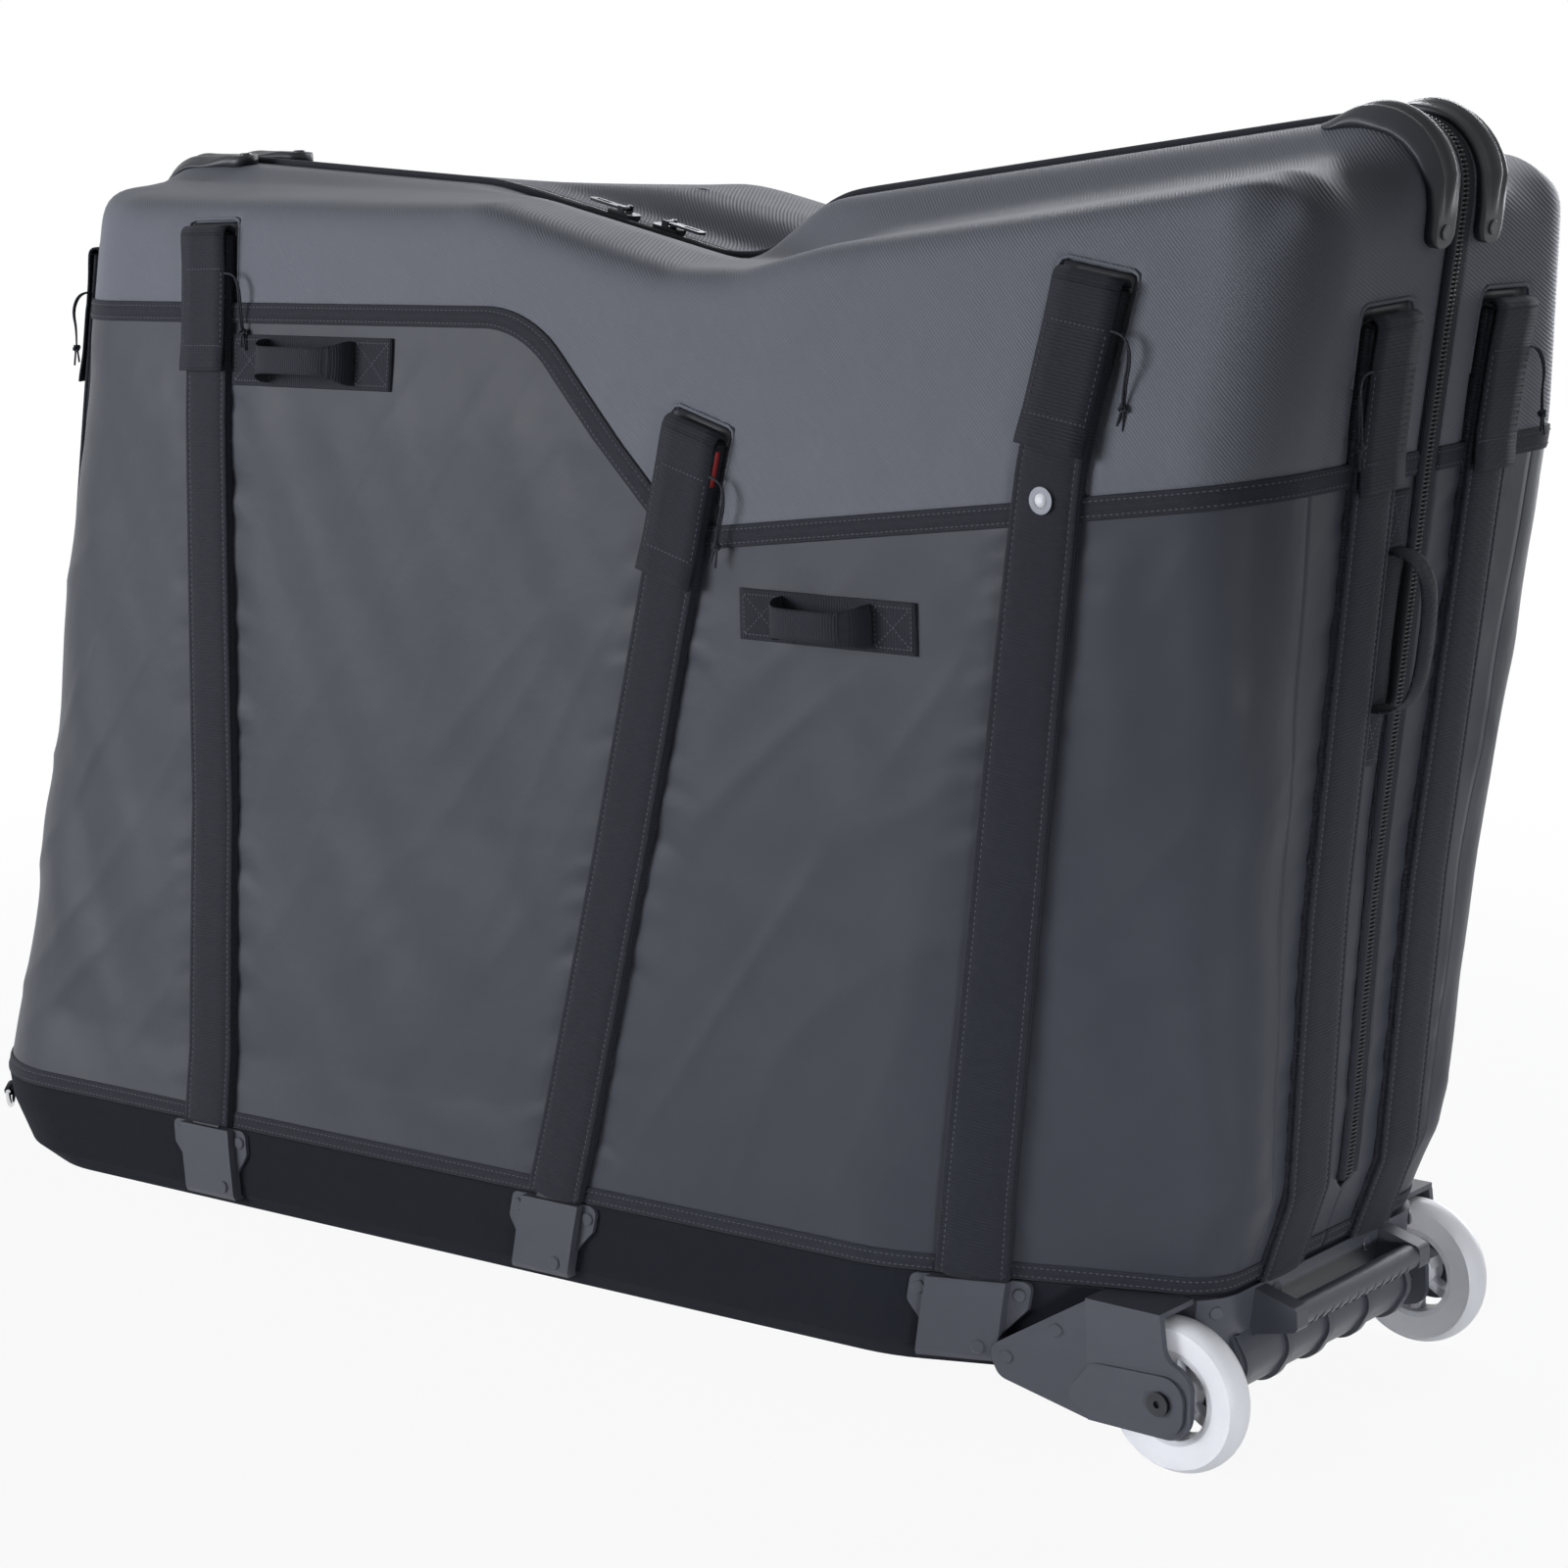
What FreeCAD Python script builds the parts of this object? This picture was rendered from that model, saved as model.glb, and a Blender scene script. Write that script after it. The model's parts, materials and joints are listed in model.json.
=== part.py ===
import FreeCAD, Part
import math
import os

# Bike travel case: a tub on two wheels, two fabric halves with hard top shells, and stiffening poles.
# The case is modelled level, with U along it (axle at U = 0), Y across it and V up from the tub's underside.
# At the end it is tilted onto its wheels and feet. Sizes are millimetres, angles degrees.

Vec = FreeCAD.Vector

# Wheels and axles
WHEEL_RADIUS = 55.0
TYRE_WIDTH = 24.0
TYRE_BORE = 34.0
TYRE_CROWN = 5.0
WHEEL_SPACING = 312.0
HUB_WIDTH = 22.0
HUB_SPOKES = 6
HUB_RIM = 4.0
HUB_BOSS_RADIUS = 14.5
SPOKE_WIDTH = 7.0
SPOKE_THICKNESS = 10.0
BEARING_RADIUS = 11.0
BEARING_WIDTH = 7.0
AXLE_RADIUS = 4.0
AXLE_CLEARANCE = 0.05
AXLE_HEIGHT = 5.0
TYRE_TAPER = 2.0
BEARING_LIP = 2.0
SPACER_RADIUS = 6.5
BOLT_HEAD_RADIUS = 8.5
BOLT_HEAD_HEIGHT = 3.0
HEX_SOCKET = 2.9
HEX_SOCKET_DEPTH = 2.4
NUT_RADIUS = 7.4
NUT_HEIGHT = 6.4
AXLE_BOSS_RADIUS = 7.0
AXLE_BOSS_GAP = 0.3

# Tub
TUB_HEIGHT = 67.5
TUB_WALL = 4.0
TUB_END_LEAN = 10.0
TUB_SIDE_DRAFT = 1.5
TUB_TOE_LIP = 3.0
TUB_TOE_ROUND = 46.0
TUB_EDGE_ROUND = 8.0
SEAM_TAPE_HEIGHT = 13.0
SEAM_TAPE = 1.2
FLOOR_PAD = 12.0
FOOT_HEIGHT = 3.0
FOOT_LENGTH = 46.0
FOOT_WIDTH = 60.0
FOOT_FROM_END = 120.0
FOOT_SPREAD = 300.0
CRADLE_U = -420.0
CRADLE_LENGTH = 130.0
CRADLE_HALF = 60.0
CRADLE_HEIGHT = 60.0
CRADLE_GROOVE = 23.0
PAD_GAP = 2.0

# Outline of the case in plan, level by level: wheel end, bend in the side, far end
SEAM_GAP = 0.6
LEVEL_LOW = 130.0
LEVEL_MIDDLE = 330.0
LEVEL_BINDING = 640.0
LEVEL_TOP = 900.0
WALL = 5.0

# Top line of the case
RIDGE_HALF = 38.0
RIDGE_FOOT = 68.0
VALLEY = 98.0
RIM_ROUND = 38.0
RIM_SKIRT = 140.0
END_ROUND = 46.0
END_MARGIN = 2.0

# Zip
ZIP_BAND = 12.0
ZIP_GAP = 0.4
ZIP_TAPE = 3.0
ZIP_TEETH = 2.0
TEETH_WIDTH = 4.0
ZIP_END = 124.0
SLIDER_LENGTH = 28.0
SLIDER_WIDTH = 13.0
SLIDER_HEIGHT = 5.0
SLIDER_RELIEF = 3.5
SLIDER_SPACING = 46.0
SLIDER_FIRST = -612.0
RUN_CLEARANCE = 0.4
PULL_LENGTH = 36.0
PULL_WIDTH = 8.0
PULL_THICKNESS = 2.0
PULL_ROUND = 3.0
PULL_EYE = 0.9
PULL_WINDOW_FROM = 16.0
PULL_WINDOW_LENGTH = 14.5
PULL_WINDOW_WIDTH = 3.2
PIN_RADIUS = 1.2
PIN_CLEARANCE = 0.05
PIN_HEIGHT = 2.6
PIN_SEAT = 1.0
SLIDER_EAR_LENGTH = 6.0
SLIDER_EAR_HEIGHT = 5.0
SLIDER_EAR_THICKNESS = 1.5
SLIDER_EAR_GAP = 0.35
SLIDER_NOSE_ROUND = 3.0
SLIDER_TAIL_ROUND = 5.0
SLIDER_RELIEF_FROM = 1.0

# Webbing, poles and bindings
WEBBING = 50.0
SLEEVE = 8.0
SLEEVE_WALL = 1.5
POLE_WIDTH = 30.0
FLAP = 3.0
FLAP_LENGTH = 112.0
FLAP_CAP = 5.0
BINDING = 1.5
BINDING_WIDTH = 16.0
PATCH = 2.0
HANDLE_WEBBING = 30.0
HANDLE_THICKNESS = 3.0
HANDLE_RISE = 30.0
END_HANDLE_RISE = 34.0
CORD_RADIUS = 1.6
CORD_START = 34.0
# Pull cord of a strap, from the flap's edge: across, down and out
CORD_ROUTE = [(0, 0, 0), (8, 0, 0), (15, 6, 1), (18, 17, 2), (16, 31, 1), (17, 45, 1)]
CORD_BEND_SHARE = 0.45
EYELET_RADIUS = 9.0
EYELET_BORE = 5.0
EYELET_HEIGHT = 1.5
EYELET_V = 617.0

# Pole brackets, rivets and corner guards
BRACKET_PLATE = 56.0
BRACKET_DEPTH = 9.0
BRACKET_EAR = 14.0
BRACKET_EAR_HEIGHT = 20.0
BRACKET_EAR_TAPER = 18.0
BRACKET_EAR_ROUND = 6.0
BRACKET_EAR_THICKNESS = 3.0
BRACKET_BOTTOM = 8.0
POCKET_DEPTH = 44.0
PLATE_RIVET_SIDE = 17.0
PLATE_RIVET_UP = 11.0
RIVET_RADIUS = 5.0
RIVET_HEIGHT = 1.6
GUARD = 8.0
GUARD_WIDTH = 34.0
GUARD_GAP = 1.0
GUARD_DROP = 92.0
GUARD_RUN = 96.0
GUARD_RIVET_IN = 10.0

# Wheel brackets
CHEEK = 5.0
SWELL = 2.5
CHEEK_BOTTOM = -21.0
FENDER = 4.0
WHEEL_SIDE_GAP = 3.0
WELL_RADIUS = 61.5
MOUNT_END = -137.0
MOUNT_FLARE = 14.0
CHEEK_RIVETS = [(-84.0, 40.0), (-122.0, 15.0)]

# Moulding and grip at the wheel end
END_PLATE = 5.0
END_PLATE_MARGIN = 2.0
END_PLATE_GAP = 0.5
END_RIVET_SPREAD = 58.0
END_RIVET_V = 55.0
BELLY_DEPTH = 15.0
BELLY_CLEARANCE = 26.0
BELLY_RIBS = 5
BELLY_RIB = 2.5
BELLY_RIB_WIDTH = 6.0
HANDLE_REACH = 42.0
HANDLE_SPREAD = 80.0
GRIP_V = 46.0
GRIP_RADIUS = 9.0
GRIP_TEETH = 12
GRIP_TOOTH = 4.0
GRIP_TOOTH_HEIGHT = 1.0
GRIP_TOOTHED = 120.0
ARM_WIDTH = 14.0
ARM_DROP = 4.0
ARM_SHOULDER = 16.0
ARM_HEEL = 16.0
ARM_ROOT = 34.0
ARM_TIP = 8.0

# D-rings and their tabs
RING_RADIUS = 15.0
RING_WIRE = 2.2
RING_V = 46.0
TAB_WIDTH = 20.0
TAB_HEIGHT = 12.0
TAB_DEPTH = 8.0
TAB_ROOT = 3.0

FAR = 400.0
LONG = 1600.0


class Level:
    """One plan outline: its height, the wheel end, the bend in the side and the far end."""

    def __init__(self, v, wheel_end, bend, far_end):
        self.v = v
        self.wheel_end = wheel_end
        self.bend = bend
        self.far_end = far_end


# Each corner is its U, its half width and its rounding.
SEAM = Level(TUB_HEIGHT + SEAM_GAP, (14.0, 128.0, 35.0), (-215.0, 208.0, 160.0), (-1230.0, 255.0, 120.0))
LEVELS = [
    SEAM,
    Level(LEVEL_LOW, (38.0, 138.0, 38.0), (-205.0, 209.0, 160.0), (-1220.0, 238.0, 118.0)),
    Level(LEVEL_MIDDLE, (59.0, 166.0, 45.0), (-160.0, 210.0, 160.0), (-1187.0, 204.0, 110.0)),
    Level(LEVEL_BINDING, (104.0, 203.0, 60.0), (-60.0, 211.0, 160.0), (-1137.0, 172.0, 100.0)),
    Level(LEVEL_TOP, (147.0, 152.0, 60.0), (-60.0, 162.0, 160.0), (-1093.0, 148.0, 85.0)),
]

# The two lines that shape the top, from the far end to the wheel end: U, V and rounding.
# The first and last U follow from the ends.
RIDGE_LINE = [(842.0, END_ROUND), (-735.0, 814.0, 220.0), (-500.0, 757.0, 70.0), (-450.0, 757.0, 50.0),
              (-385.0, 801.0, 50.0), (858.0, END_ROUND)]
SHOULDER_LINE = [(822.0, END_ROUND), (-610.0, 806.0, 160.0), (-410.0, 760.0, 90.0), (-345.0, 760.0, 90.0),
                 (-270.0, 778.0, 160.0), (828.0, END_ROUND)]

# The seam between shell and fabric, seen from the side: U, V and rounding.
BINDING_LINE = [(-LONG, 720.0, 0.0), (-545.0, 724.0, 110.0), (-380.0, 572.0, 90.0), (LONG, 793.0, 0.0)]

# Straps on the side: U at the tub, U and V at the top.
SIDE_STRAPS = {"far": (-896.0, -908.0, 788.0), "middle": (-518.0, -360.0, 652.0), "wheel": (-150.0, -25.0, 758.0)}
# Straps on the ends: half distance at the tub, half distance and V at the top.
END_STRAPS = {"wheel": (57.0, 74.0, 727.0), "far": (128.0, 104.0, 768.0)}
# Carry handles on the side: U and V of the middle of the patch, its length and height.
SIDE_HANDLES = {"far": (-783.0, 686.0, 190.0, 44.0), "middle": (-243.0, 524.0, 160.0, 40.0)}
# Upright handle at the wheel end: distance from the middle plane, V of its foot and head.
END_HANDLE = (30.0, 424.0, 610.0)
END_WEBBING = 24.0
END_PATCH = 40.0

# Height, inset and how far the far end of the tub is drawn in, from the underside to the rim
TUB_STEPS = [(0.0, TUB_EDGE_ROUND, TUB_TOE_ROUND), (TUB_EDGE_ROUND * 1.5, TUB_SIDE_DRAFT, TUB_TOE_ROUND / 2),
             (TUB_TOE_ROUND, 0.0, TUB_TOE_LIP), (TUB_HEIGHT, 0.0, 0.0)]

# Outlines of the wheel brackets and of the belly between them, seen from the side: U, V and rounding
WHEEL_Y = WHEEL_SPACING / 2
CHEEK_OUTER = WHEEL_Y + TYRE_WIDTH / 2 + WHEEL_SIDE_GAP
CHEEK_INNER = WHEEL_Y - TYRE_WIDTH / 2 - WHEEL_SIDE_GAP
WELL_TOP = AXLE_HEIGHT + WELL_RADIUS
AXLE = Vec(0, 0, AXLE_HEIGHT)
CHEEK_OUTLINE = [(MOUNT_END, 20.0, 12.0), (-58.0, WELL_TOP, 25.0), (0.0, WELL_TOP, 6.0), (3.0, 34.0, 14.0),
                 (25.0, 28.0, 18.0), (22.0, CHEEK_BOTTOM, 20.0), (-60.0, CHEEK_BOTTOM, 14.0), (-128.0, 0.0, 12.0)]
SWELL_OUTLINE = [(-80.0, -6.0, 8.0), (-56.0, 22.0, 16.0), (20.0, 25.0, 16.0), (18.0, -17.0, 16.0),
                 (-58.0, -17.0, 10.0)]
INNER_OUTLINE = [(-WELL_RADIUS, WELL_TOP, 0.0), (-12.0, WELL_TOP, 10.0), (-6.0, 30.0, 14.0), (18.0, 23.0, 14.0),
                 (18.0, -13.0, 14.0), (-20.0, CHEEK_BOTTOM, 12.0), (-WELL_RADIUS, CHEEK_BOTTOM, 0.0)]
BELLY_OUTLINE = [(-86.0, -1.0, 0.0), (-50.0, -BELLY_DEPTH, 30.0), (6.0, -BELLY_DEPTH, 26.0), (24.0, 12.0, 18.0),
                 (12.0, 34.0, 0.0), (-86.0, 34.0, 0.0)]

# Stance: the floor touches both wheels and the feet
FOOT_U = SEAM.far_end[0] + FOOT_FROM_END
TILT = (math.asin(WHEEL_RADIUS / math.hypot(FOOT_U, AXLE_HEIGHT + FOOT_HEIGHT))
        - math.atan2(AXLE_HEIGHT + FOOT_HEIGHT, -FOOT_U))


def at(u, y, v):
    """Point of the level case."""
    return Vec(u, y, v)


def rounded_wire(corners, place):
    """Closed wire through corners (a, b, rounding), each rounded by an arc, laid out by place(a, b)."""
    edges = []
    first = None
    last = None
    count = len(corners)
    for index, (a, b, rounding) in enumerate(corners):
        corner = Vec(a, b, 0)
        before = Vec(*corners[index - 1][:2], 0) - corner
        after = Vec(*corners[(index + 1) % count][:2], 0) - corner
        before.normalize()
        after.normalize()
        start = corner
        if rounding > 0:
            half = before.getAngle(after) / 2
            reach = rounding / math.tan(half)
            inward = (before + after).normalize()
            middle = corner + inward * (rounding / math.sin(half) - rounding)
            start = corner + before * reach
            end = corner + after * reach
            arc = Part.Arc(place(start.x, start.y), place(middle.x, middle.y), place(end.x, end.y)).toShape()
        else:
            end = corner
            arc = None
        if last is not None:
            edges.append(Part.makeLine(place(last.x, last.y), place(start.x, start.y)))
        else:
            first = start
        if arc is not None:
            edges.append(arc)
        last = end
    edges.append(Part.makeLine(place(last.x, last.y), place(first.x, first.y)))
    return Part.Wire(edges)


def prism(corners, place, direction):
    """Solid made by pushing a rounded outline along a direction."""
    return Part.Face(rounded_wire(corners, place)).extrude(direction)


def side_prism(corners, y_from, y_to):
    """Outline in U and V, pushed across the case."""
    return prism(corners, lambda u, v: at(u, y_from, v), Vec(0, y_to - y_from, 0))


def end_prism(corners, u_from, u_to):
    """Outline in Y and V, pushed along the case."""
    return prism(corners, lambda y, v: at(u_from, y, v), Vec(u_to - u_from, 0, 0))


def block(u0, u1, y0, y1, v0, v1):
    return Part.makeBox(u1 - u0, y1 - y0, v1 - v0, at(u0, y0, v0))


def rod(start, end, radius):
    return Part.makeCylinder(radius, (end - start).Length, start, end - start)


def plan_corners(level, inset):
    """Corners of one plan outline, drawn in by inset."""
    u_wheel, w_wheel, r_wheel = level.wheel_end
    u_bend, w_bend, r_bend = level.bend
    u_far, w_far, r_far = level.far_end
    front = [(u_wheel - inset, -(w_wheel - inset), r_wheel - inset),
             (u_bend, -(w_bend - inset), r_bend - inset),
             (u_far + inset, -(w_far - inset), r_far - inset)]
    back = [(u, -y, r) for u, y, r in reversed(front)]
    return front + back


def plan_wire(level, inset, v):
    return rounded_wire(plan_corners(level, inset), lambda u, y: at(u, y, v))


def end_at(corner, v):
    """U of an end of the case at a height between the two top levels."""
    low, high = LEVELS[-2], LEVELS[-1]
    share = (v - low.v) / (high.v - low.v)
    u_low = getattr(low, corner)[0]
    u_high = getattr(high, corner)[0]
    return u_low + share * (u_high - u_low)


def top_half_width(u, inset):
    """Half width of the rim of the top shells."""
    v = (SHOULDER_LINE[0][0] + SHOULDER_LINE[-1][0]) / 2
    low, high = LEVELS[-2], LEVELS[-1]
    share = (v - low.v) / (high.v - low.v)
    far = low.far_end[1] + share * (high.far_end[1] - low.far_end[1])
    wheel = low.wheel_end[1] + share * (high.wheel_end[1] - low.wheel_end[1])
    u_far = end_at("far_end", v)
    u_wheel = end_at("wheel_end", v)
    return far + (wheel - far) * (u - u_far) / (u_wheel - u_far) - inset


def top_corners(weight, drop, inset):
    """Side view of the top at one station: weight 0 is the ridge line, 1 the shoulder line."""
    mixed = []
    for ridge, shoulder in zip(RIDGE_LINE, SHOULDER_LINE):
        mixed.append([r + weight * (s - r) for r, s in zip(ridge, shoulder)])
    low = LEVELS[-2].v
    corners = [(-LONG, SEAM.v - FAR / 2, 0), (-LONG, low - FAR / 10, 0)]
    corners.append((end_at("far_end", low) - END_MARGIN + inset, low, 0))
    v, rounding = mixed[0]
    v = v - drop - inset
    corners.append((end_at("far_end", v) - END_MARGIN + inset, v, rounding - inset))
    for u, v, rounding in mixed[1:-1]:
        corners.append((u, v - drop - inset, rounding))
    v, rounding = mixed[-1]
    v = v - drop - inset
    corners.append((end_at("wheel_end", v) + END_MARGIN - inset, v, rounding - inset))
    corners.append((end_at("wheel_end", low) + END_MARGIN - inset, low, 0))
    corners.append((LONG, low - FAR / 10, 0))
    corners.append((LONG, SEAM.v - FAR / 2, 0))
    return corners


def top_solid(inset):
    """Everything under the top surface of the shells: ridge in the middle, shoulders and rounded rims."""
    flat = [(RIDGE_HALF, 0.05), (RIDGE_FOOT, 0.8), (VALLEY, 1.0)]
    rims = [(RIM_ROUND, 0.0), (RIM_ROUND * 0.3, RIM_ROUND * 0.27), (-RIM_ROUND * 0.1, RIM_ROUND),
            (-RIM_SKIRT, RIM_ROUND + RIM_SKIRT)]

    def level_station(side, y, weight):
        return rounded_wire(top_corners(weight, 0.0, inset), lambda u, v: at(u, side * (y - inset), v))

    def rim_station(side, off, drop):
        return rounded_wire(top_corners(1.0, drop, inset),
                            lambda u, v: at(u, side * (top_half_width(u, inset) - off), v))

    front = [level_station(-1, y, weight) for y, weight in flat]
    front += [rim_station(-1, off, drop) for off, drop in rims]
    back = [level_station(1, y, weight) for y, weight in flat]
    back += [rim_station(1, off, drop) for off, drop in rims]
    middle = rounded_wire(top_corners(0.0, 0.0, inset), lambda u, v: at(u, 0, v))
    return Part.makeLoft(list(reversed(front)) + [middle] + back, True, True)


bodies = {}


def body(inset):
    """The closed case above the tub, drawn in by inset or, below zero, swollen by it."""
    if inset not in bodies:
        wires = [plan_wire(level, inset, level.v) for level in LEVELS]
        if inset > 0:
            wires.insert(0, plan_wire(SEAM, inset, SEAM.v - TUB_HEIGHT / 2))
        bodies[inset] = Part.makeLoft(wires, True, True).common(top_solid(inset))
    return bodies[inset]


def layer(low, high, region):
    """Piece of the skin between two distances outside the case wall, inside a region."""
    return body(-high).common(region).cut(body(-low))


def half_block(u0, u1, depth0, depth1, v0, v1):
    """Box on the front half, given by its distances from the middle plane."""
    return block(u0, u1, -depth1, -depth0, v0, v1)


def group(shapes):
    """One compound of separate solids."""
    pieces = []
    for shape in shapes:
        pieces += shape.Solids
    return Part.makeCompound(pieces)


def mirrored(shape):
    return shape.mirror(Vec(0, 0, 0), Vec(0, 1, 0))


def first_hit(start, direction, solid):
    """First point of a solid on the way from start along direction."""
    line = Part.makeLine(start, start + direction)
    points = [vertex.Point for vertex in line.common(solid).Vertexes]
    return min(points, key=lambda point: (point - start).Length)


def side_point(u, v, solid):
    return first_hit(at(u, -FAR, v), Vec(0, FAR, 0), solid)


def wheel_end_point(y, v, solid):
    return first_hit(at(FAR, y, v), Vec(-FAR, 0, 0), solid)


def top_point(u, y, solid):
    return first_hit(at(u, y, LONG), Vec(0, 0, -LONG), solid)


def rivet(point, outward):
    """Low domed rivet head on a surface."""
    head = Part.makeCylinder(RIVET_RADIUS, RIVET_HEIGHT, point, outward)
    return head.makeChamfer(RIVET_HEIGHT / 2, [edge for edge in head.Edges if edge.Closed][:1])


# Fabric, shells and everything sewn or riveted to one half

BINDING_REGION = BINDING_LINE + [(LONG, LONG, 0.0), (-LONG, LONG, 0.0)]


def strip(strap, width, begin, end):
    """Corners of a stretch of a strap, from begin to end below its top."""
    (a_top, b_top), (a_foot, b_foot) = strap
    along = Vec(a_foot - a_top, b_foot - b_top, 0)
    along.normalize()
    across = Vec(-along.y, along.x, 0) * (width / 2)
    top = Vec(a_top, b_top, 0)
    corners = [top + along * begin + across, top + along * begin - across,
               top + along * end - across, top + along * end + across]
    return [(corner.x, corner.y, 0.0) for corner in corners]


def side_region(corners):
    return side_prism(corners, -FAR, -RIDGE_FOOT)


def wheel_end_region(corners):
    return end_prism(corners, -WEBBING, FAR)


def far_end_region(corners):
    return end_prism(corners, -LONG, LEVELS[-1].far_end[0] + 2 * LEVELS[-1].far_end[2])


def strap_list():
    """Every strap of the front half: how its outline is pushed, its top and foot, its length."""
    straps = []
    for u_foot, u_top, v_top in SIDE_STRAPS.values():
        straps.append((side_region, ((u_top, v_top), (u_foot, TUB_HEIGHT))))
    regions = {"wheel": wheel_end_region, "far": far_end_region}
    for name, (y_foot, y_top, v_top) in END_STRAPS.items():
        straps.append((regions[name], ((-y_top, v_top), (-y_foot, TUB_HEIGHT))))
    return straps


def strap_length(strap):
    (a_top, b_top), (a_foot, b_foot) = strap
    return math.hypot(a_top - a_foot, b_top - b_foot)


def make_sleeves():
    sleeves = []
    poles = []
    for region, strap in strap_list():
        past_foot = strap_length(strap) + WEBBING
        sleeve = layer(0.0, SLEEVE, region(strip(strap, WEBBING, FLAP_CAP, past_foot)))
        core = region(strip(strap, POLE_WIDTH, FLAP_CAP, past_foot))
        pole = layer(SLEEVE_WALL, SLEEVE - SLEEVE_WALL, core)
        sleeves.append(sleeve.cut(pole))
        poles.append(pole)
    return group(sleeves), group(poles)


def make_flaps():
    flaps = []
    for region, strap in strap_list():
        width = WEBBING + 2 * SLEEVE_WALL
        cover = layer(SLEEVE, SLEEVE + FLAP, region(strip(strap, width, 0.0, FLAP_LENGTH)))
        cap = layer(0.0, SLEEVE + FLAP, region(strip(strap, width, 0.0, FLAP_CAP)))
        flaps.append(cover.fuse(cap).removeSplitter())
    return group(flaps)


def binding_band():
    low = [(u, v - BINDING_WIDTH / 2, r) for u, v, r in BINDING_LINE]
    high = [(u, v + BINDING_WIDTH / 2, r) for u, v, r in reversed(BINDING_LINE)]
    return side_prism(low + high, -FAR, -ZIP_BAND)


def seam_band():
    """Lowest strip of the fabric, where it meets the tub."""
    return half_block(-LONG, LONG, ZIP_GAP, FAR, SEAM.v, SEAM.v + SEAM_TAPE_HEIGHT)


def end_panel_regions():
    """Where the fabric ends stop and the side panel starts: the tangent line of each rounded corner."""
    regions = []
    for corner, u0, u1 in (("wheel_end", -WEBBING, FAR), ("far_end", -LONG, -LONG / 2)):
        edge = []
        for level in (SEAM, LEVELS[-2]):
            u, half_width, rounding = getattr(level, corner)
            edge.append((rounding - half_width, level.v, 0.0))
        low, high = edge
        corners = [(WALL, low[1] - WALL, 0.0), (low[0], low[1] - WALL, 0.0), high, (high[0], LEVEL_TOP, 0.0),
                   (WALL, LEVEL_TOP, 0.0)]
        regions.append(end_prism(corners, u0, u1))
    return regions


def make_walls():
    """Shell, side panel and end panels of the front half."""
    walls = body(0.0).cut(body(WALL)).common(half_block(-LONG, LONG, ZIP_GAP, FAR, 0.0, LONG))
    walls = walls.cut(half_block(-LONG, LONG, 0.0, ZIP_BAND, ZIP_END, LONG))
    above = side_prism(BINDING_REGION, -FAR, FAR)
    fabric = walls.cut(above)
    wheel_region, far_region = end_panel_regions()
    side = fabric.cut(wheel_region).cut(far_region)
    return walls.common(above), side, fabric.common(wheel_region), fabric.common(far_region)


def make_zip():
    """Tape of the front half with its row of teeth."""
    band = half_block(-LONG, LONG, ZIP_GAP, ZIP_BAND, ZIP_END, LONG)
    teeth = half_block(-LONG, LONG, ZIP_GAP, TEETH_WIDTH, ZIP_END, LONG)
    tape = body(0.0).common(band).cut(body(ZIP_TAPE))
    return tape.fuse(layer(0.0, ZIP_TEETH, teeth)).removeSplitter()


def arch(length, rise, width):
    """Webbing loop: a bowed band standing on the plane h = 0, its span along the first axis."""
    half = length / 2
    inner_half = half - HANDLE_THICKNESS

    def edge_point(a, h):
        return Vec(a, -width / 2, h)

    outer = Part.Arc(edge_point(-half, 0), edge_point(0, rise), edge_point(half, 0)).toShape()
    inner = Part.Arc(edge_point(inner_half, 0), edge_point(0, rise - HANDLE_THICKNESS),
                     edge_point(-inner_half, 0)).toShape()
    feet = [Part.makeLine(edge_point(half, 0), edge_point(inner_half, 0)),
            Part.makeLine(edge_point(-inner_half, 0), edge_point(-half, 0))]
    face = Part.Face(Part.Wire([outer, feet[0], inner, feet[1]]))
    return face.extrude(Vec(0, width, 0))


def placed(shape, origin, along, outward):
    """Stand a shape on a surface: its first axis along, its third axis outward."""
    across = outward.cross(along)
    moved = shape.copy()
    moved.Placement = FreeCAD.Placement(origin, FreeCAD.Rotation(along, across, outward, "ZXY"))
    return moved


def make_side_handles(straps_and_flaps):
    pieces = []
    for u, v, length, height in SIDE_HANDLES.values():
        corners = [(u - length / 2, v - height / 2, 0.0), (u + length / 2, v - height / 2, 0.0),
                   (u + length / 2, v + height / 2, 0.0), (u - length / 2, v + height / 2, 0.0)]
        patch = layer(0.0, PATCH, side_region(corners)).cut(straps_and_flaps)
        span = length - 2 * height
        skin = body(-PATCH)
        feet = [side_point(u + side * span / 2, v, skin) for side in (-1, 1)]
        rise = side_point(u, v + height / 2, skin) - side_point(u, v - height / 2, skin)
        along = (feet[1] - feet[0]).normalize()
        outward = along.cross(rise.normalize())
        loop = placed(arch(span, HANDLE_RISE, HANDLE_WEBBING), (feet[0] + feet[1]) / 2, along, outward)
        pieces += [patch, loop.cut(skin)]
    return group(pieces)


def make_end_handle(straps):
    """Upright carry loop between the zip and the strap at the wheel end."""
    depth, v_low, v_high = END_HANDLE
    region = half_block(0.0, FAR, depth - END_WEBBING / 2, depth + END_WEBBING / 2, v_low, v_high)
    pieces = [layer(0.0, PATCH, region).cut(straps)]
    skin = body(-PATCH)
    foot = wheel_end_point(-depth, v_low + END_PATCH - HANDLE_THICKNESS, skin)
    head = wheel_end_point(-depth, v_high - END_PATCH + HANDLE_THICKNESS, skin)
    along = (head - foot).normalize()
    outward = Vec(0, 1, 0).cross(along)
    span = (head - foot).Length
    loop = placed(arch(span, END_HANDLE_RISE, END_WEBBING), (foot + head) / 2, along, outward)
    pieces.append(loop.cut(skin))
    return group(pieces)


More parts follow.
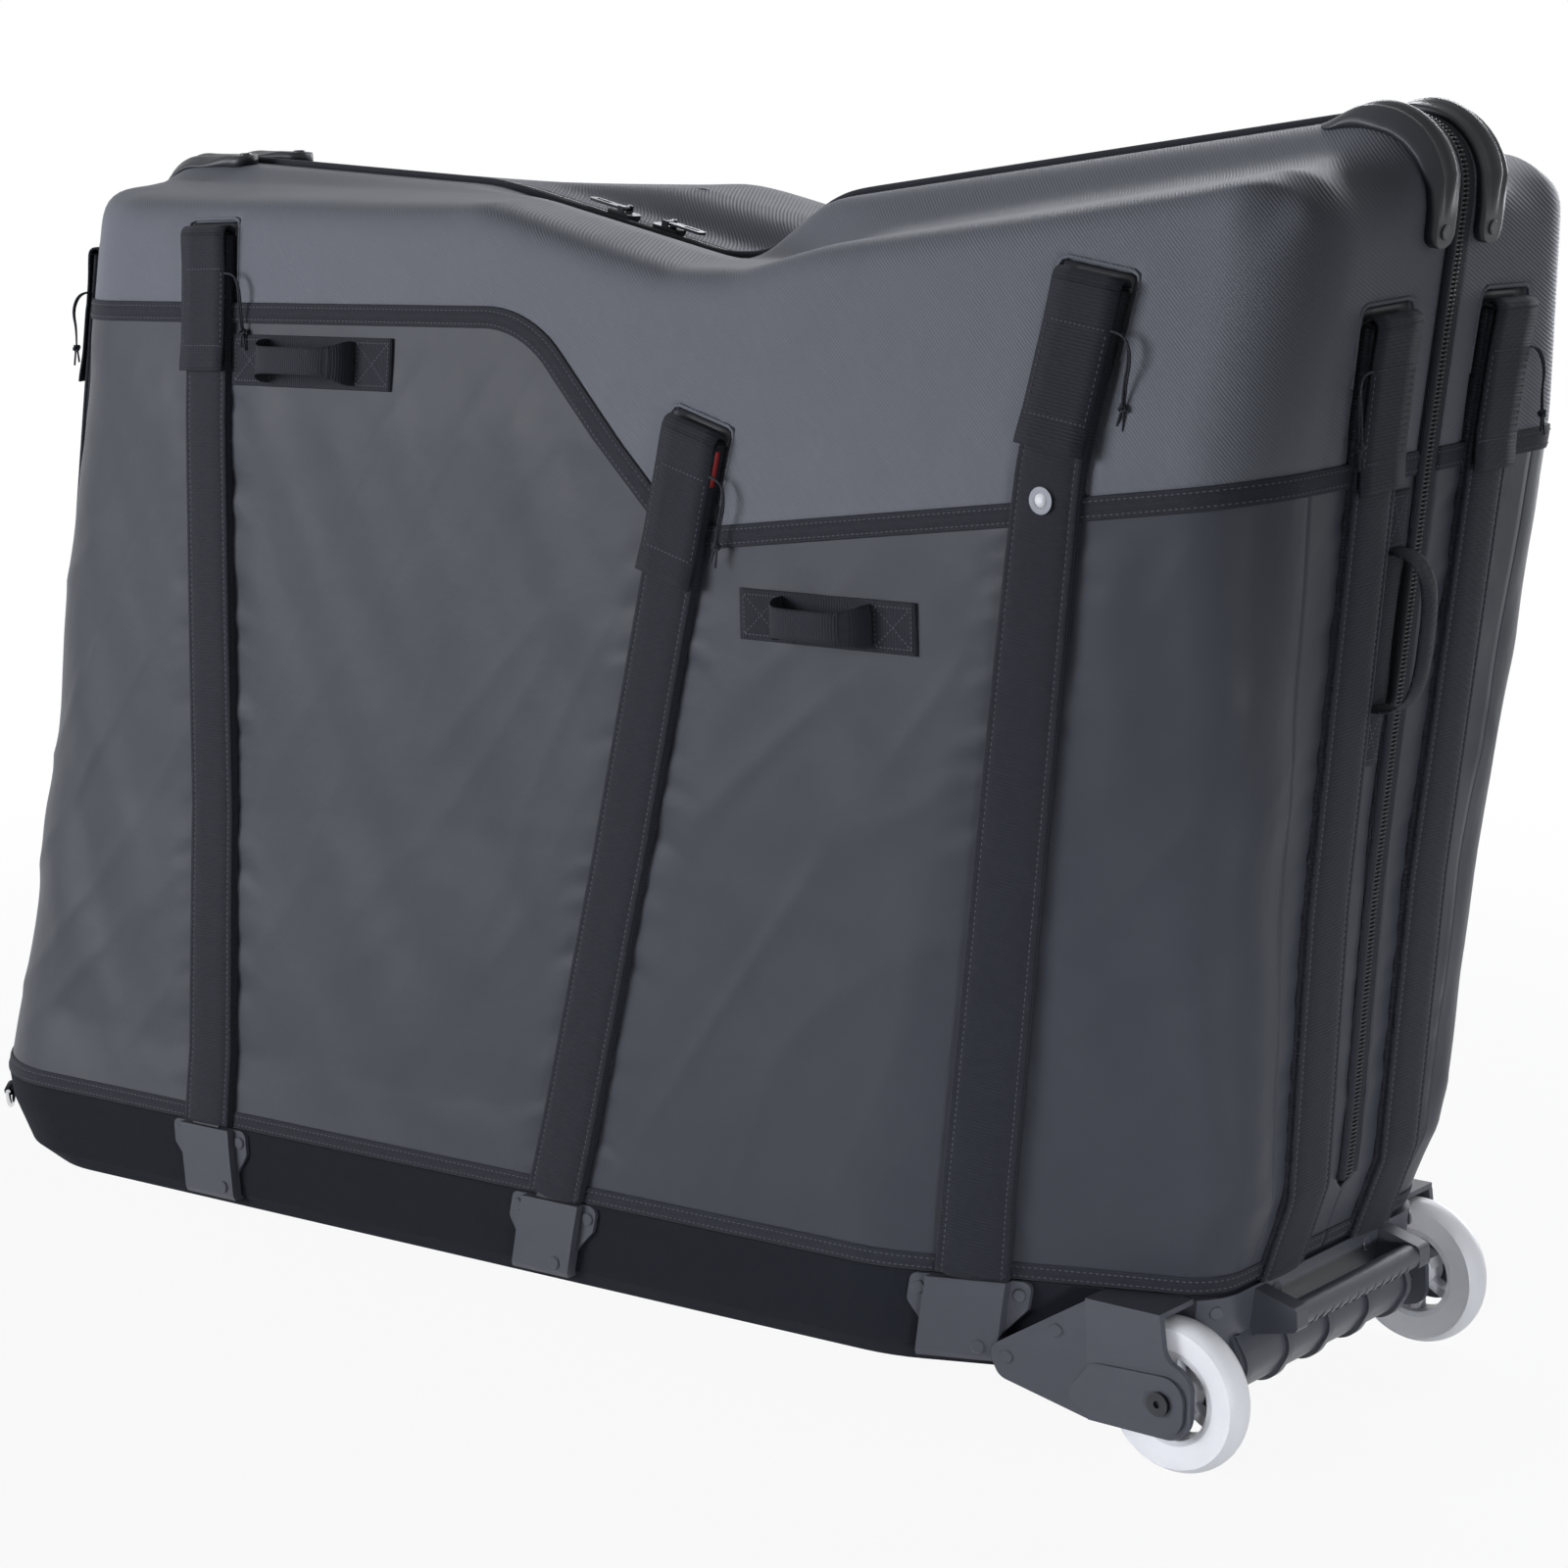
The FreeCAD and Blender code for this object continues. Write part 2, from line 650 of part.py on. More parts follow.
def make_guards():
    """Rubber corner guards beside the zip, with the rivet of each."""
    low = ZIP_BAND + GUARD_GAP
    high = low + GUARD_WIDTH
    u_wheel = end_at("wheel_end", RIDGE_LINE[-1][0])
    u_far = end_at("far_end", RIDGE_LINE[0][0])
    v_wheel = RIDGE_LINE[-1][0] - GUARD_DROP
    v_far = RIDGE_LINE[0][0] - GUARD_DROP
    wheel = layer(0.0, GUARD, half_block(u_wheel - GUARD_RUN, FAR, low, high, v_wheel, LONG))
    far = layer(0.0, GUARD, half_block(-LONG, u_far + GUARD_RUN, low, high, v_far, LONG))
    skin = body(-GUARD)
    y = -(low + high) / 2
    lean = Vec(LEVELS[-1].v - LEVELS[-2].v, 0, LEVELS[-2].wheel_end[0] - LEVELS[-1].wheel_end[0]).normalize()
    rivets = [rivet(wheel_end_point(y, v_wheel + GUARD_RIVET_IN, skin), lean),
              rivet(top_point(u_far + GUARD_RUN - GUARD_RIVET_IN, y, skin), Vec(0, 0, 1))]
    return group([wheel, far]), group([head.cut(skin) for head in rivets])


def make_eyelet():
    """Metal eyelet set in the strap nearest the wheels."""
    u_foot, u_top, v_top = SIDE_STRAPS["wheel"]
    u = u_foot + (u_top - u_foot) * (EYELET_V - TUB_HEIGHT) / (v_top - TUB_HEIGHT)
    skin = body(-SLEEVE)
    point = side_point(u, EYELET_V, skin)
    eyelet = Part.makeCylinder(EYELET_RADIUS, EYELET_HEIGHT, point, Vec(0, -1, 0))
    return eyelet.cut(Part.makeCylinder(EYELET_BORE, EYELET_HEIGHT, point, Vec(0, -1, 0))).cut(skin)


def cord_path(points):
    """Straight runs joined by arcs as large as the runs allow, and the radii of the arcs."""
    edges = []
    radii = []
    last = points[0]
    for before, corner, after in zip(points, points[1:], points[2:]):
        inbound = before - corner
        outbound = after - corner
        reach = CORD_BEND_SHARE * min(inbound.Length, outbound.Length)
        inbound.normalize()
        outbound.normalize()
        half = inbound.getAngle(outbound) / 2
        radius = reach * math.tan(half)
        radii.append(radius)
        start = corner + inbound * reach
        end = corner + outbound * reach
        middle = corner + (inbound + outbound).normalize() * (radius / math.sin(half) - radius)
        edges.append(Part.LineSegment(last, start).toShape())
        edges.append(Part.Arc(start, middle, end).toShape())
        last = end
    edges.append(Part.LineSegment(last, points[-1]).toShape())
    return Part.Wire(edges), radii


def make_cords(flaps):
    """Pull cord of every flap of the front half."""
    cords = []
    skin = body(-SLEEVE - FLAP / 2)
    edge = WEBBING / 2 + SLEEVE_WALL
    for region, strap in strap_list():
        (a_top, b_top), (a_foot, b_foot) = strap
        share = CORD_START / strap_length(strap)
        a = a_top + (a_foot - a_top) * share
        b = b_top + (b_foot - b_top) * share
        if region is side_region:
            start = side_point(a + edge, b, skin)
            across, outward = Vec(1, 0, 0), Vec(0, -1, 0)
        elif region is wheel_end_region:
            start = wheel_end_point(a - edge, b, skin)
            across, outward = Vec(0, -1, 0), Vec(1, 0, 0)
        else:
            start = first_hit(at(-LONG, a - edge, b), Vec(LONG, 0, 0), skin)
            across, outward = Vec(0, -1, 0), Vec(-1, 0, 0)
        down = Vec((a_foot - a_top) * across.x, (a_foot - a_top) * abs(across.y), b_foot - b_top).normalize()
        across = (across - down * across.dot(down)).normalize()
        points = [start + across * n + down * d + outward * o for n, d, o in CORD_ROUTE]
        path, radii = cord_path(points)
        section = Part.Wire(Part.makeCircle(CORD_RADIUS, points[0], across))
        cord = path.makePipeShell([section], True, False)
        filled = cord.Volume / (math.pi * CORD_RADIUS ** 2 * path.Length)
        print("cord radii", [round(radius, 1) for radius in radii], "volume share %.3f" % filled)
        cords.append(cord.cut(flaps))
    return group(cords)


# Zip sliders and their pulls

def slider_frame(u):
    """Point on the zip line at u, the direction of the zip there and the way out of the case."""
    first = Vec(RIDGE_LINE[1][0], 0, RIDGE_LINE[1][1])
    second = Vec(RIDGE_LINE[2][0], 0, RIDGE_LINE[2][1])
    along = (second - first).normalize()
    outward = Vec(-along.z, 0, along.x)
    point = first + along * ((u - first.x) / along.x)
    return point, along, outward


def make_slider(u, facing):
    """Slider body with two ears and the pin that carries its pull."""
    point, along, outward = slider_frame(u)
    low = ZIP_TEETH + RUN_CLEARANCE
    half = SLIDER_WIDTH / 2
    corners = [(-SLIDER_LENGTH / 2, -half, SLIDER_TAIL_ROUND), (SLIDER_LENGTH / 2, -half, SLIDER_NOSE_ROUND),
               (SLIDER_LENGTH / 2, half, SLIDER_NOSE_ROUND), (-SLIDER_LENGTH / 2, half, SLIDER_TAIL_ROUND)]
    plate = prism(corners, lambda a, b: Vec(a, b, low), Vec(0, 0, SLIDER_HEIGHT))
    # The underside rises over the back half's teeth, so that the back half can swing away.
    inner = facing * SLIDER_RELIEF_FROM
    outer = facing * (half + SLIDER_RELIEF_FROM)
    relief = Part.Face(Part.makePolygon([Vec(-FAR, inner, low), Vec(-FAR, outer, low),
                                         Vec(-FAR, outer, low + SLIDER_RELIEF),
                                         Vec(-FAR, inner, low)])).extrude(Vec(2 * FAR, 0, 0))
    top = low + SLIDER_HEIGHT
    ear = PULL_WIDTH / 2 + SLIDER_EAR_GAP
    slider = plate.cut(relief)
    for y in (ear, -ear - SLIDER_EAR_THICKNESS):
        slider = slider.fuse(Part.makeBox(SLIDER_EAR_LENGTH, SLIDER_EAR_THICKNESS, SLIDER_EAR_HEIGHT,
                                          Vec(-SLIDER_EAR_LENGTH / 2, y, top)))
    pin_half = ear + PIN_SEAT
    pin = Part.makeCylinder(PIN_RADIUS, 2 * pin_half, Vec(0, -pin_half, top + PIN_HEIGHT), Vec(0, 1, 0))
    return placed(slider.fuse(pin), point, along * facing, outward)


def make_pull(u, facing):
    """Pull plate that swings on the slider's pin."""
    point, along, outward = slider_frame(u)
    v = ZIP_TEETH + RUN_CLEARANCE + SLIDER_HEIGHT + PIN_HEIGHT
    half = PULL_WIDTH / 2
    bore = PIN_RADIUS + PIN_CLEARANCE
    eye = Part.makeCylinder(bore + PULL_EYE, PULL_WIDTH, Vec(0, -half, v), Vec(0, 1, 0))
    corners = [(0.0, -half, 0.0), (PULL_LENGTH, -half, PULL_ROUND), (PULL_LENGTH, half, PULL_ROUND), (0.0, half, 0.0)]
    plate = prism(corners, lambda a, b: Vec(a, b, v - PULL_THICKNESS / 2), Vec(0, 0, PULL_THICKNESS))
    window = Part.makeBox(PULL_WINDOW_LENGTH, PULL_WINDOW_WIDTH, FAR,
                          Vec(PULL_WINDOW_FROM, -PULL_WINDOW_WIDTH / 2, 0))
    hole = Part.makeCylinder(bore, FAR, Vec(0, -FAR / 2, v), Vec(0, 1, 0))
    return placed(eye.fuse(plate).cut(window).cut(hole), point, along * facing, outward)


# Tub and its mouldings

tub_bodies = {}


def tub_body(inset):
    """The closed tub, drawn in by inset or, below zero, swollen by it."""
    if inset not in tub_bodies:
        wires = []
        for v, drawn_in, toe in TUB_STEPS:
            u_wheel, w_wheel, r_wheel = SEAM.wheel_end
            u_far, w_far, r_far = SEAM.far_end
            u_end = u_wheel - TUB_END_LEAN * (1 - v / TUB_HEIGHT) - SEAM_TAPE
            step = Level(v, (u_end, w_wheel, r_wheel), SEAM.bend, (u_far + toe, w_far, r_far))
            wires.append(plan_wire(step, inset + drawn_in, v))
        tub_bodies[inset] = Part.makeLoft(wires, True, True)
    return tub_bodies[inset]


def tub_layer(low, high, region):
    return tub_body(-high).common(region).cut(tub_body(-low))


def make_well():
    """Room cut out of the tub for one wheel and its bracket."""
    return half_block(-WELL_RADIUS, WELL_RADIUS, CHEEK_INNER - CHEEK, FAR, -FAR, TUB_HEIGHT + WALL)


def make_wheel_bracket():
    """Fork that carries one wheel: outer cheek, inner cheek, fender and the foot riveted to the tub."""
    face = CHEEK_OUTER + CHEEK
    root = CHEEK_INNER - CHEEK
    outer = side_prism(CHEEK_OUTLINE, -face, -CHEEK_OUTER)
    outer = outer.common(half_block(-WELL_RADIUS, FAR, 0.0, FAR, -FAR, FAR))
    swell = side_prism(SWELL_OUTLINE, -face - SWELL, -face)
    inner = side_prism(INNER_OUTLINE, -CHEEK_INNER, -root)
    fender = half_block(-WELL_RADIUS, 0.0, root, face, WELL_TOP - FENDER, WELL_TOP)
    back = half_block(-WELL_RADIUS, FENDER - WELL_RADIUS, root, face, CHEEK_BOTTOM, WELL_TOP)
    foot = [(-WELL_RADIUS, -CHEEK_INNER, 0.0), (-WELL_RADIUS, -face, 0.0),
            (MOUNT_END, -face - MOUNT_FLARE, 0.0), (MOUNT_END, -CHEEK_INNER, 0.0)]
    foot = prism(foot, lambda u, y: at(u, y, -FAR), Vec(0, 0, 2 * FAR))
    foot = foot.common(side_prism(CHEEK_OUTLINE, -FAR, 0.0)).cut(tub_body(0.0))
    boss_reach = HUB_WIDTH / 2 + AXLE_BOSS_GAP
    bosses = [rod(at(0, -CHEEK_OUTER, AXLE_HEIGHT), at(0, -WHEEL_Y - boss_reach, AXLE_HEIGHT), AXLE_BOSS_RADIUS),
              rod(at(0, -CHEEK_INNER, AXLE_HEIGHT), at(0, -WHEEL_Y + boss_reach, AXLE_HEIGHT), AXLE_BOSS_RADIUS)]
    bracket = outer.fuse([swell, inner, fender, back, foot] + bosses).removeSplitter()
    hole = Part.makeCylinder(AXLE_RADIUS + AXLE_CLEARANCE, FAR, AXLE, Vec(0, -1, 0))
    return bracket.cut(hole)


def hexagon(centre, radius, depth):
    """Six-sided bar along Y, from a centre on its near face."""
    points = []
    for k in range(7):
        turn = math.radians(60 * k)
        points.append(centre + Vec(radius * math.cos(turn), 0, radius * math.sin(turn)))
    return Part.Face(Part.makePolygon(points)).extrude(Vec(0, depth, 0))


def make_axle():
    """Bolt with a socket head, and its nut inside."""
    head_at = AXLE + Vec(0, -CHEEK_OUTER - CHEEK - SWELL, 0)
    head = Part.makeCylinder(BOLT_HEAD_RADIUS, BOLT_HEAD_HEIGHT, head_at, Vec(0, -1, 0))
    socket = hexagon(head_at + Vec(0, -BOLT_HEAD_HEIGHT, 0), HEX_SOCKET, HEX_SOCKET_DEPTH)
    nut_at = AXLE + Vec(0, -CHEEK_INNER + CHEEK, 0)
    shank = rod(head_at, nut_at + Vec(0, NUT_HEIGHT, 0), AXLE_RADIUS)
    bore = Part.makeCylinder(AXLE_RADIUS + AXLE_CLEARANCE, NUT_HEIGHT, nut_at, Vec(0, 1, 0))
    nut = hexagon(nut_at, NUT_RADIUS, NUT_HEIGHT).cut(bore)
    return head.cut(socket).fuse(shank), nut


def revolved(outline):
    """Turn an outline of (radius, offset along the axle) about the front axle."""
    points = [AXLE + Vec(0, -WHEEL_Y + y, r) for r, y in outline]
    face = Part.Face(Part.makePolygon(points + points[:1]))
    return face.revolve(AXLE, Vec(0, 1, 0), 360)


def ring(radius, bore, y0, y1):
    return revolved([(bore, y0), (radius, y0), (radius, y1), (bore, y1)])


def make_wheel():
    """Tyre, spoked hub, pair of bearings and spacer of the front wheel."""
    half = TYRE_WIDTH / 2
    shoulder = WHEEL_RADIUS - TYRE_CROWN
    points = [AXLE + Vec(0, -WHEEL_Y + y, r) for r, y in
              [(TYRE_BORE, TYRE_TAPER - half), (shoulder, -half), (shoulder, half), (TYRE_BORE, half - TYRE_TAPER)]]
    crown = Part.Arc(points[1], AXLE + Vec(0, -WHEEL_Y, WHEEL_RADIUS), points[2]).toShape()
    lines = [Part.makeLine(points[0], points[1]), crown, Part.makeLine(points[2], points[3]),
             Part.makeLine(points[3], points[0])]
    tyre = Part.Face(Part.Wire(lines)).revolve(AXLE, Vec(0, 1, 0), 360)
    hub_half = HUB_WIDTH / 2
    hub = ring(TYRE_BORE, TYRE_BORE - HUB_RIM, TYRE_TAPER - half, half - TYRE_TAPER)
    boss = ring(HUB_BOSS_RADIUS, BEARING_RADIUS - BEARING_LIP, -hub_half, hub_half)
    spoke_from = (HUB_BOSS_RADIUS + BEARING_RADIUS) / 2
    spoke_to = TYRE_BORE - HUB_RIM / 2
    for k in range(HUB_SPOKES):
        spoke = Part.makeBox(SPOKE_WIDTH, SPOKE_THICKNESS, spoke_to - spoke_from,
                             Vec(-SPOKE_WIDTH / 2, -SPOKE_THICKNESS / 2, spoke_from))
        spoke.rotate(Vec(0, 0, 0), Vec(0, 1, 0), 360.0 * k / HUB_SPOKES)
        spoke.translate(AXLE + Vec(0, -WHEEL_Y, 0))
        boss = boss.fuse(spoke)
    hub = hub.fuse(boss).removeSplitter()
    bearings = []
    for side in (-1, 1):
        y0, y1 = sorted((side * hub_half, side * (hub_half - BEARING_WIDTH)))
        hub = hub.cut(ring(BEARING_RADIUS, AXLE_RADIUS, y0, y1))
        bearings.append(ring(BEARING_RADIUS - AXLE_CLEARANCE, AXLE_RADIUS + AXLE_CLEARANCE, y0, y1))
    spacer_half = hub_half - BEARING_WIDTH
    spacer = ring(SPACER_RADIUS, AXLE_RADIUS + AXLE_CLEARANCE, -spacer_half, spacer_half)
    return tyre, hub, group(bearings), spacer


def make_pole_brackets():
    """Pockets on the tub that take the pole ends, with two riveted ears each."""
    brackets = []
    rivets = []
    for u_foot, u_top, v_top in SIDE_STRAPS.values():
        lean = (u_top - u_foot) / (v_top - TUB_HEIGHT)

        def leaning(outline):
            corners = []
            for across, v, rounding in outline:
                corners.append((u_foot + lean * (v - TUB_HEIGHT) + across, v, rounding))
            return side_prism(corners, -FAR, -RIDGE_FOOT)

        def upright(width, v0, v1):
            half = width / 2
            return leaning([(-half, v0, 0.0), (half, v0, 0.0), (half, v1, 0.0), (-half, v1, 0.0)])

        root = BRACKET_PLATE / 2
        tip = root + BRACKET_EAR
        ear_foot = TUB_HEIGHT - BRACKET_EAR_HEIGHT
        right = [(root, ear_foot - BRACKET_EAR_TAPER, 0.0), (tip, ear_foot, BRACKET_EAR_ROUND),
                 (tip, TUB_HEIGHT, BRACKET_EAR_ROUND)]
        ears = leaning(right + [(-across, v, rounding) for across, v, rounding in reversed(right)])
        plate = tub_layer(0.0, BRACKET_DEPTH, upright(BRACKET_PLATE, BRACKET_BOTTOM, TUB_HEIGHT))
        pocket = upright(POLE_WIDTH + 2 * SLEEVE_WALL, TUB_HEIGHT - POCKET_DEPTH, TUB_HEIGHT + SLEEVE_WALL)
        pocket = tub_layer(SLEEVE_WALL, SLEEVE - SLEEVE_WALL, pocket)
        bracket = plate.fuse(tub_layer(0.0, BRACKET_EAR_THICKNESS, ears)).cut(pocket).removeSplitter()
        brackets.append(bracket)
        v_ear = TUB_HEIGHT - BRACKET_EAR_HEIGHT / 2
        for side in (-1, 1):
            u = u_foot + lean * (v_ear - TUB_HEIGHT) + side * (BRACKET_PLATE + BRACKET_EAR) / 2
            rivets.append(tub_rivet(u, v_ear, BRACKET_EAR_THICKNESS))
        u = u_foot + lean * (BRACKET_BOTTOM - TUB_HEIGHT) + PLATE_RIVET_SIDE
        rivets.append(tub_rivet(u, BRACKET_BOTTOM + PLATE_RIVET_UP, BRACKET_DEPTH))
    return group(brackets), group(rivets)


def surface_rivet(u, v, solid):
    """Rivet square to the front side of a solid, as seen from above."""
    run = side_point(u + RIVET_RADIUS, v, solid) - side_point(u - RIVET_RADIUS, v, solid)
    head = rivet(side_point(u, v, solid), Vec(run.y, -run.x, 0).normalize())
    return head.cut(solid)


def tub_rivet(u, v, height):
    """Rivet on a moulding of a given height on the front side of the tub."""
    return surface_rivet(u, v, tub_body(-height))


def make_carrier():
    """Moulding on the wheel end of the tub: end plate and ribbed belly between the wheels."""
    plate_half = CHEEK_INNER - CHEEK - END_PLATE_GAP
    plate = tub_layer(0.0, END_PLATE, block(-WEBBING, FAR, -plate_half, plate_half,
                                            END_PLATE_MARGIN, TUB_HEIGHT - END_PLATE_MARGIN))
    nut_room = rod(at(0, -FAR, AXLE_HEIGHT), at(0, NUT_HEIGHT - plate_half, AXLE_HEIGHT), NUT_RADIUS + END_PLATE_GAP)
    plate = plate.cut(nut_room).cut(mirrored(nut_room))
    belly_half = CHEEK_INNER - CHEEK - BELLY_CLEARANCE
    belly = side_prism(BELLY_OUTLINE, -belly_half, belly_half)
    rib = []
    for u, v, rounding in BELLY_OUTLINE:
        rib.append((u + (BELLY_RIB if u > 0 else 0.0), v - (BELLY_RIB if v < 0 else 0.0), rounding))
    for k in range(BELLY_RIBS):
        y = (belly_half - BELLY_RIB_WIDTH) * (2.0 * k / (BELLY_RIBS - 1) - 1.0)
        belly = belly.fuse(side_prism(rib, y - BELLY_RIB_WIDTH / 2, y + BELLY_RIB_WIDTH / 2))
    return plate.fuse(belly.cut(tub_body(0.0))).removeSplitter()


def make_grip(carrier):
    """Two arms and a ribbed bar to lift the case by."""
    reach = HANDLE_REACH
    tip = reach + GRIP_RADIUS
    arm = [(0.0, TUB_HEIGHT - ARM_DROP, 0.0), (ARM_SHOULDER, TUB_HEIGHT - ARM_DROP, 6.0),
           (tip, GRIP_V + ARM_TIP, 4.0), (tip, GRIP_V - ARM_TIP, 4.0),
           (ARM_SHOULDER, GRIP_V - ARM_HEEL, 10.0), (0.0, GRIP_V - ARM_ROOT, 0.0)]
    pieces = []
    for side in (-1, 1):
        y = side * HANDLE_SPREAD
        pieces.append(side_prism(arm, y - ARM_WIDTH / 2, y + ARM_WIDTH / 2))
    bar = rod(at(reach, -HANDLE_SPREAD, GRIP_V), at(reach, HANDLE_SPREAD, GRIP_V), GRIP_RADIUS)
    grip = bar.fuse(pieces)
    tooth_v = GRIP_V - GRIP_TOOTH_HEIGHT
    for k in range(GRIP_TEETH):
        y = GRIP_TOOTHED * (k / (GRIP_TEETH - 1) - 0.5)
        tooth = rod(at(reach, y - GRIP_TOOTH / 2, tooth_v), at(reach, y + GRIP_TOOTH / 2, tooth_v), GRIP_RADIUS)
        grip = grip.fuse(tooth)
    return grip.cut(tub_body(0.0)).cut(carrier).removeSplitter()


def make_carrier_rivets(bracket):
    """Rivets of the end plate, and of one wheel bracket."""
    skin = tub_body(-END_PLATE)
    u_wheel, w_wheel, r_wheel = SEAM.wheel_end
    rivets = []
    for side in (-1, 1):
        head = rivet(wheel_end_point(side * END_RIVET_SPREAD, END_RIVET_V, skin), Vec(1, 0, 0))
        rivets.append(head.cut(skin))
        outward = Vec(1, side, 0).normalize()
        start = at(u_wheel - r_wheel, side * (w_wheel - r_wheel), END_RIVET_V) + outward * FAR
        head = rivet(first_hit(start, outward * -FAR, skin), outward)
        rivets.append(head.cut(skin))
    return group(rivets), group([surface_rivet(u, v, bracket) for u, v in CHEEK_RIVETS])


def make_feet(tub):
    """Two skids near the far end, cut flat on the floor."""
    floor_box = Part.makeBox(2 * LONG, 2 * LONG, FAR, Vec(-LONG, -LONG, -FAR))
    floor_box.rotate(Vec(0, 0, 0), Vec(0, 1, 0), math.degrees(TILT))
    floor_box.translate(at(FOOT_U, 0, -FOOT_HEIGHT))
    feet = []
    for side in (-1, 1):
        y = side * FOOT_SPREAD / 2
        foot = block(FOOT_U - FOOT_LENGTH / 2, FOOT_U + FOOT_LENGTH / 2, y - FOOT_WIDTH / 2, y + FOOT_WIDTH / 2,
                     -2 * FOOT_HEIGHT, TUB_WALL)
        feet.append(foot.cut(tub).cut(floor_box))
    return group(feet)


def make_floor(well):
    """Padded floor, and the foam cradle that a frame rests on."""
    low = TUB_WALL
    high = TUB_WALL + FLOOR_PAD
    pad = tub_body(TUB_WALL + PAD_GAP).common(block(-LONG, LONG, -FAR, FAR, low, high)).cut(well).cut(mirrored(well))
    cradle = block(CRADLE_U - CRADLE_LENGTH / 2, CRADLE_U + CRADLE_LENGTH / 2, -CRADLE_HALF, CRADLE_HALF,
                   high, high + CRADLE_HEIGHT)
    groove = Part.makeCylinder(CRADLE_GROOVE, 2 * FAR, at(CRADLE_U, -FAR, high + CRADLE_HEIGHT), Vec(0, 1, 0))
    return pad, cradle.cut(groove)


def make_ring():
    """Webbing tab on the far corner of the tub and the D-ring that hangs in it."""
    u_far, w_far, r_far = SEAM.far_end
    outward = Vec(-1, -1, 0).normalize()
    along = Vec(1, -1, 0).normalize()
    start = at(u_far + r_far, -(w_far - r_far), RING_V) + outward * FAR
    point = first_hit(start, outward * -FAR, tub_body(0.0))
    tab = placed(Part.makeBox(TAB_WIDTH, TAB_HEIGHT, TAB_DEPTH + TAB_ROOT,
                              Vec(-TAB_WIDTH / 2, -TAB_HEIGHT / 2, -TAB_ROOT)), point, along, outward)
    bar_at = point + outward * (TAB_DEPTH / 2)
    bar = rod(bar_at - along * RING_RADIUS, bar_at + along * RING_RADIUS, RING_WIRE)
    hole = rod(bar_at - along * FAR, bar_at + along * FAR, RING_WIRE + PIN_CLEARANCE)
    bow = Part.makeTorus(RING_RADIUS, RING_WIRE, bar_at, outward, 0, 360)
    keep = Part.makeBox(2 * FAR, 2 * FAR, FAR, at(bar_at.x - FAR, bar_at.y - FAR, RING_V - FAR))
    return tab.cut(hole).cut(tub_body(0.0)), bar.fuse(bow.common(keep)).removeSplitter()


def build():
    """Every node of the level case, by name."""
    nodes = {}

    def both(name, shape):
        nodes["front_" + name] = shape
        nodes["back_" + name] = mirrored(shape)

    shell, side_panel, wheel_panel, far_panel = make_walls()
    sleeves, poles = make_sleeves()
    flaps = make_flaps()
    guards, guard_rivets = make_guards()
    straps = sleeves.fuse(poles).fuse(flaps)
    both("shell", shell)
    both("side_panel", side_panel)
    both("wheel_end_panel", wheel_panel)
    both("far_end_panel", far_panel)
    both("binding", group([layer(0.0, BINDING, binding_band()).cut(straps)]))
    both("seam_tape", group([layer(0.0, SEAM_TAPE, seam_band()).cut(straps)]))
    both("sleeves", sleeves)
    both("poles", poles)
    both("flaps", flaps)
    both("pull_cords", make_cords(flaps))
    both("carry_handles", make_side_handles(straps))
    both("guards", guards)
    both("guard_rivets", guard_rivets)
    both("zip", make_zip())
    both("eyelet", make_eyelet())
    nodes["front_end_handle"] = make_end_handle(straps)

    for name, u, facing in (("far", SLIDER_FIRST, -1), ("wheel", SLIDER_FIRST + SLIDER_SPACING, 1)):
        nodes["slider_" + name] = make_slider(u, facing)
        nodes["pull_" + name] = make_pull(u, facing)

    well = make_well()
    pole_brackets, bracket_rivets = make_pole_brackets()
    bracket = make_wheel_bracket().cut(pole_brackets)
    carrier = make_carrier()
    tub = tub_body(0.0).cut(tub_body(TUB_WALL).common(block(-LONG, LONG, -FAR, FAR, TUB_WALL, LONG)))
    nodes["base_tub"] = tub.cut(well).cut(mirrored(well))
    nodes["floor_pad"], nodes["frame_cradle"] = make_floor(well)
    nodes["skid_feet"] = make_feet(tub_body(0.0))
    both("pole_brackets", pole_brackets)
    end_rivets, cheek_rivets = make_carrier_rivets(bracket)
    nodes["bracket_rivets"] = group([bracket_rivets, mirrored(bracket_rivets)])
    nodes["carrier_rivets"] = group([end_rivets, cheek_rivets, mirrored(cheek_rivets)])
    nodes["end_carrier"] = carrier
    nodes["end_grip"] = make_grip(carrier)
    both("wheel_bracket", bracket)
    bolt, nut = make_axle()
    nodes["axle_bolts"] = group([bolt, mirrored(bolt)])
    nodes["axle_nuts"] = group([nut, mirrored(nut)])
    for name, shape in zip(("tyre", "hub", "bearings", "spacer"), make_wheel()):
        both(name, shape)
    tab, d_ring = make_ring()
    nodes["ring_tabs"] = group([tab, mirrored(tab)])
    both("d_ring", d_ring)
    return nodes


def stand(nodes):
    """Tilt the case onto the floor and put the origin under the middle of its box."""
    for shape in nodes.values():
        shape.rotate(Vec(0, 0, 0), Vec(0, 1, 0), -math.degrees(TILT))
    axle_height = AXLE_HEIGHT * math.cos(TILT)
    box = FreeCAD.BoundBox()
    for name, shape in nodes.items():
        if "cords" not in name:
            box.add(shape.optimalBoundingBox(False))
    shift = Vec(-(box.XMin + box.XMax) / 2, 0, WHEEL_RADIUS - axle_height)
    for shape in nodes.values():
        shape.translate(shift)
    return shift


def main():
    os.makedirs("parts", exist_ok=True)
    nodes = build()
    shift = stand(nodes)
    print("tilt %.4f degrees, shift %.3f %.3f" % (math.degrees(TILT), shift.x, shift.z))
    for name, shape in nodes.items():
        shape.exportStep("parts/%s.step" % name)
    print(len(nodes), "nodes")
    return nodes


if __name__ == "__main__":
    main()
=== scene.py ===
import json
import math

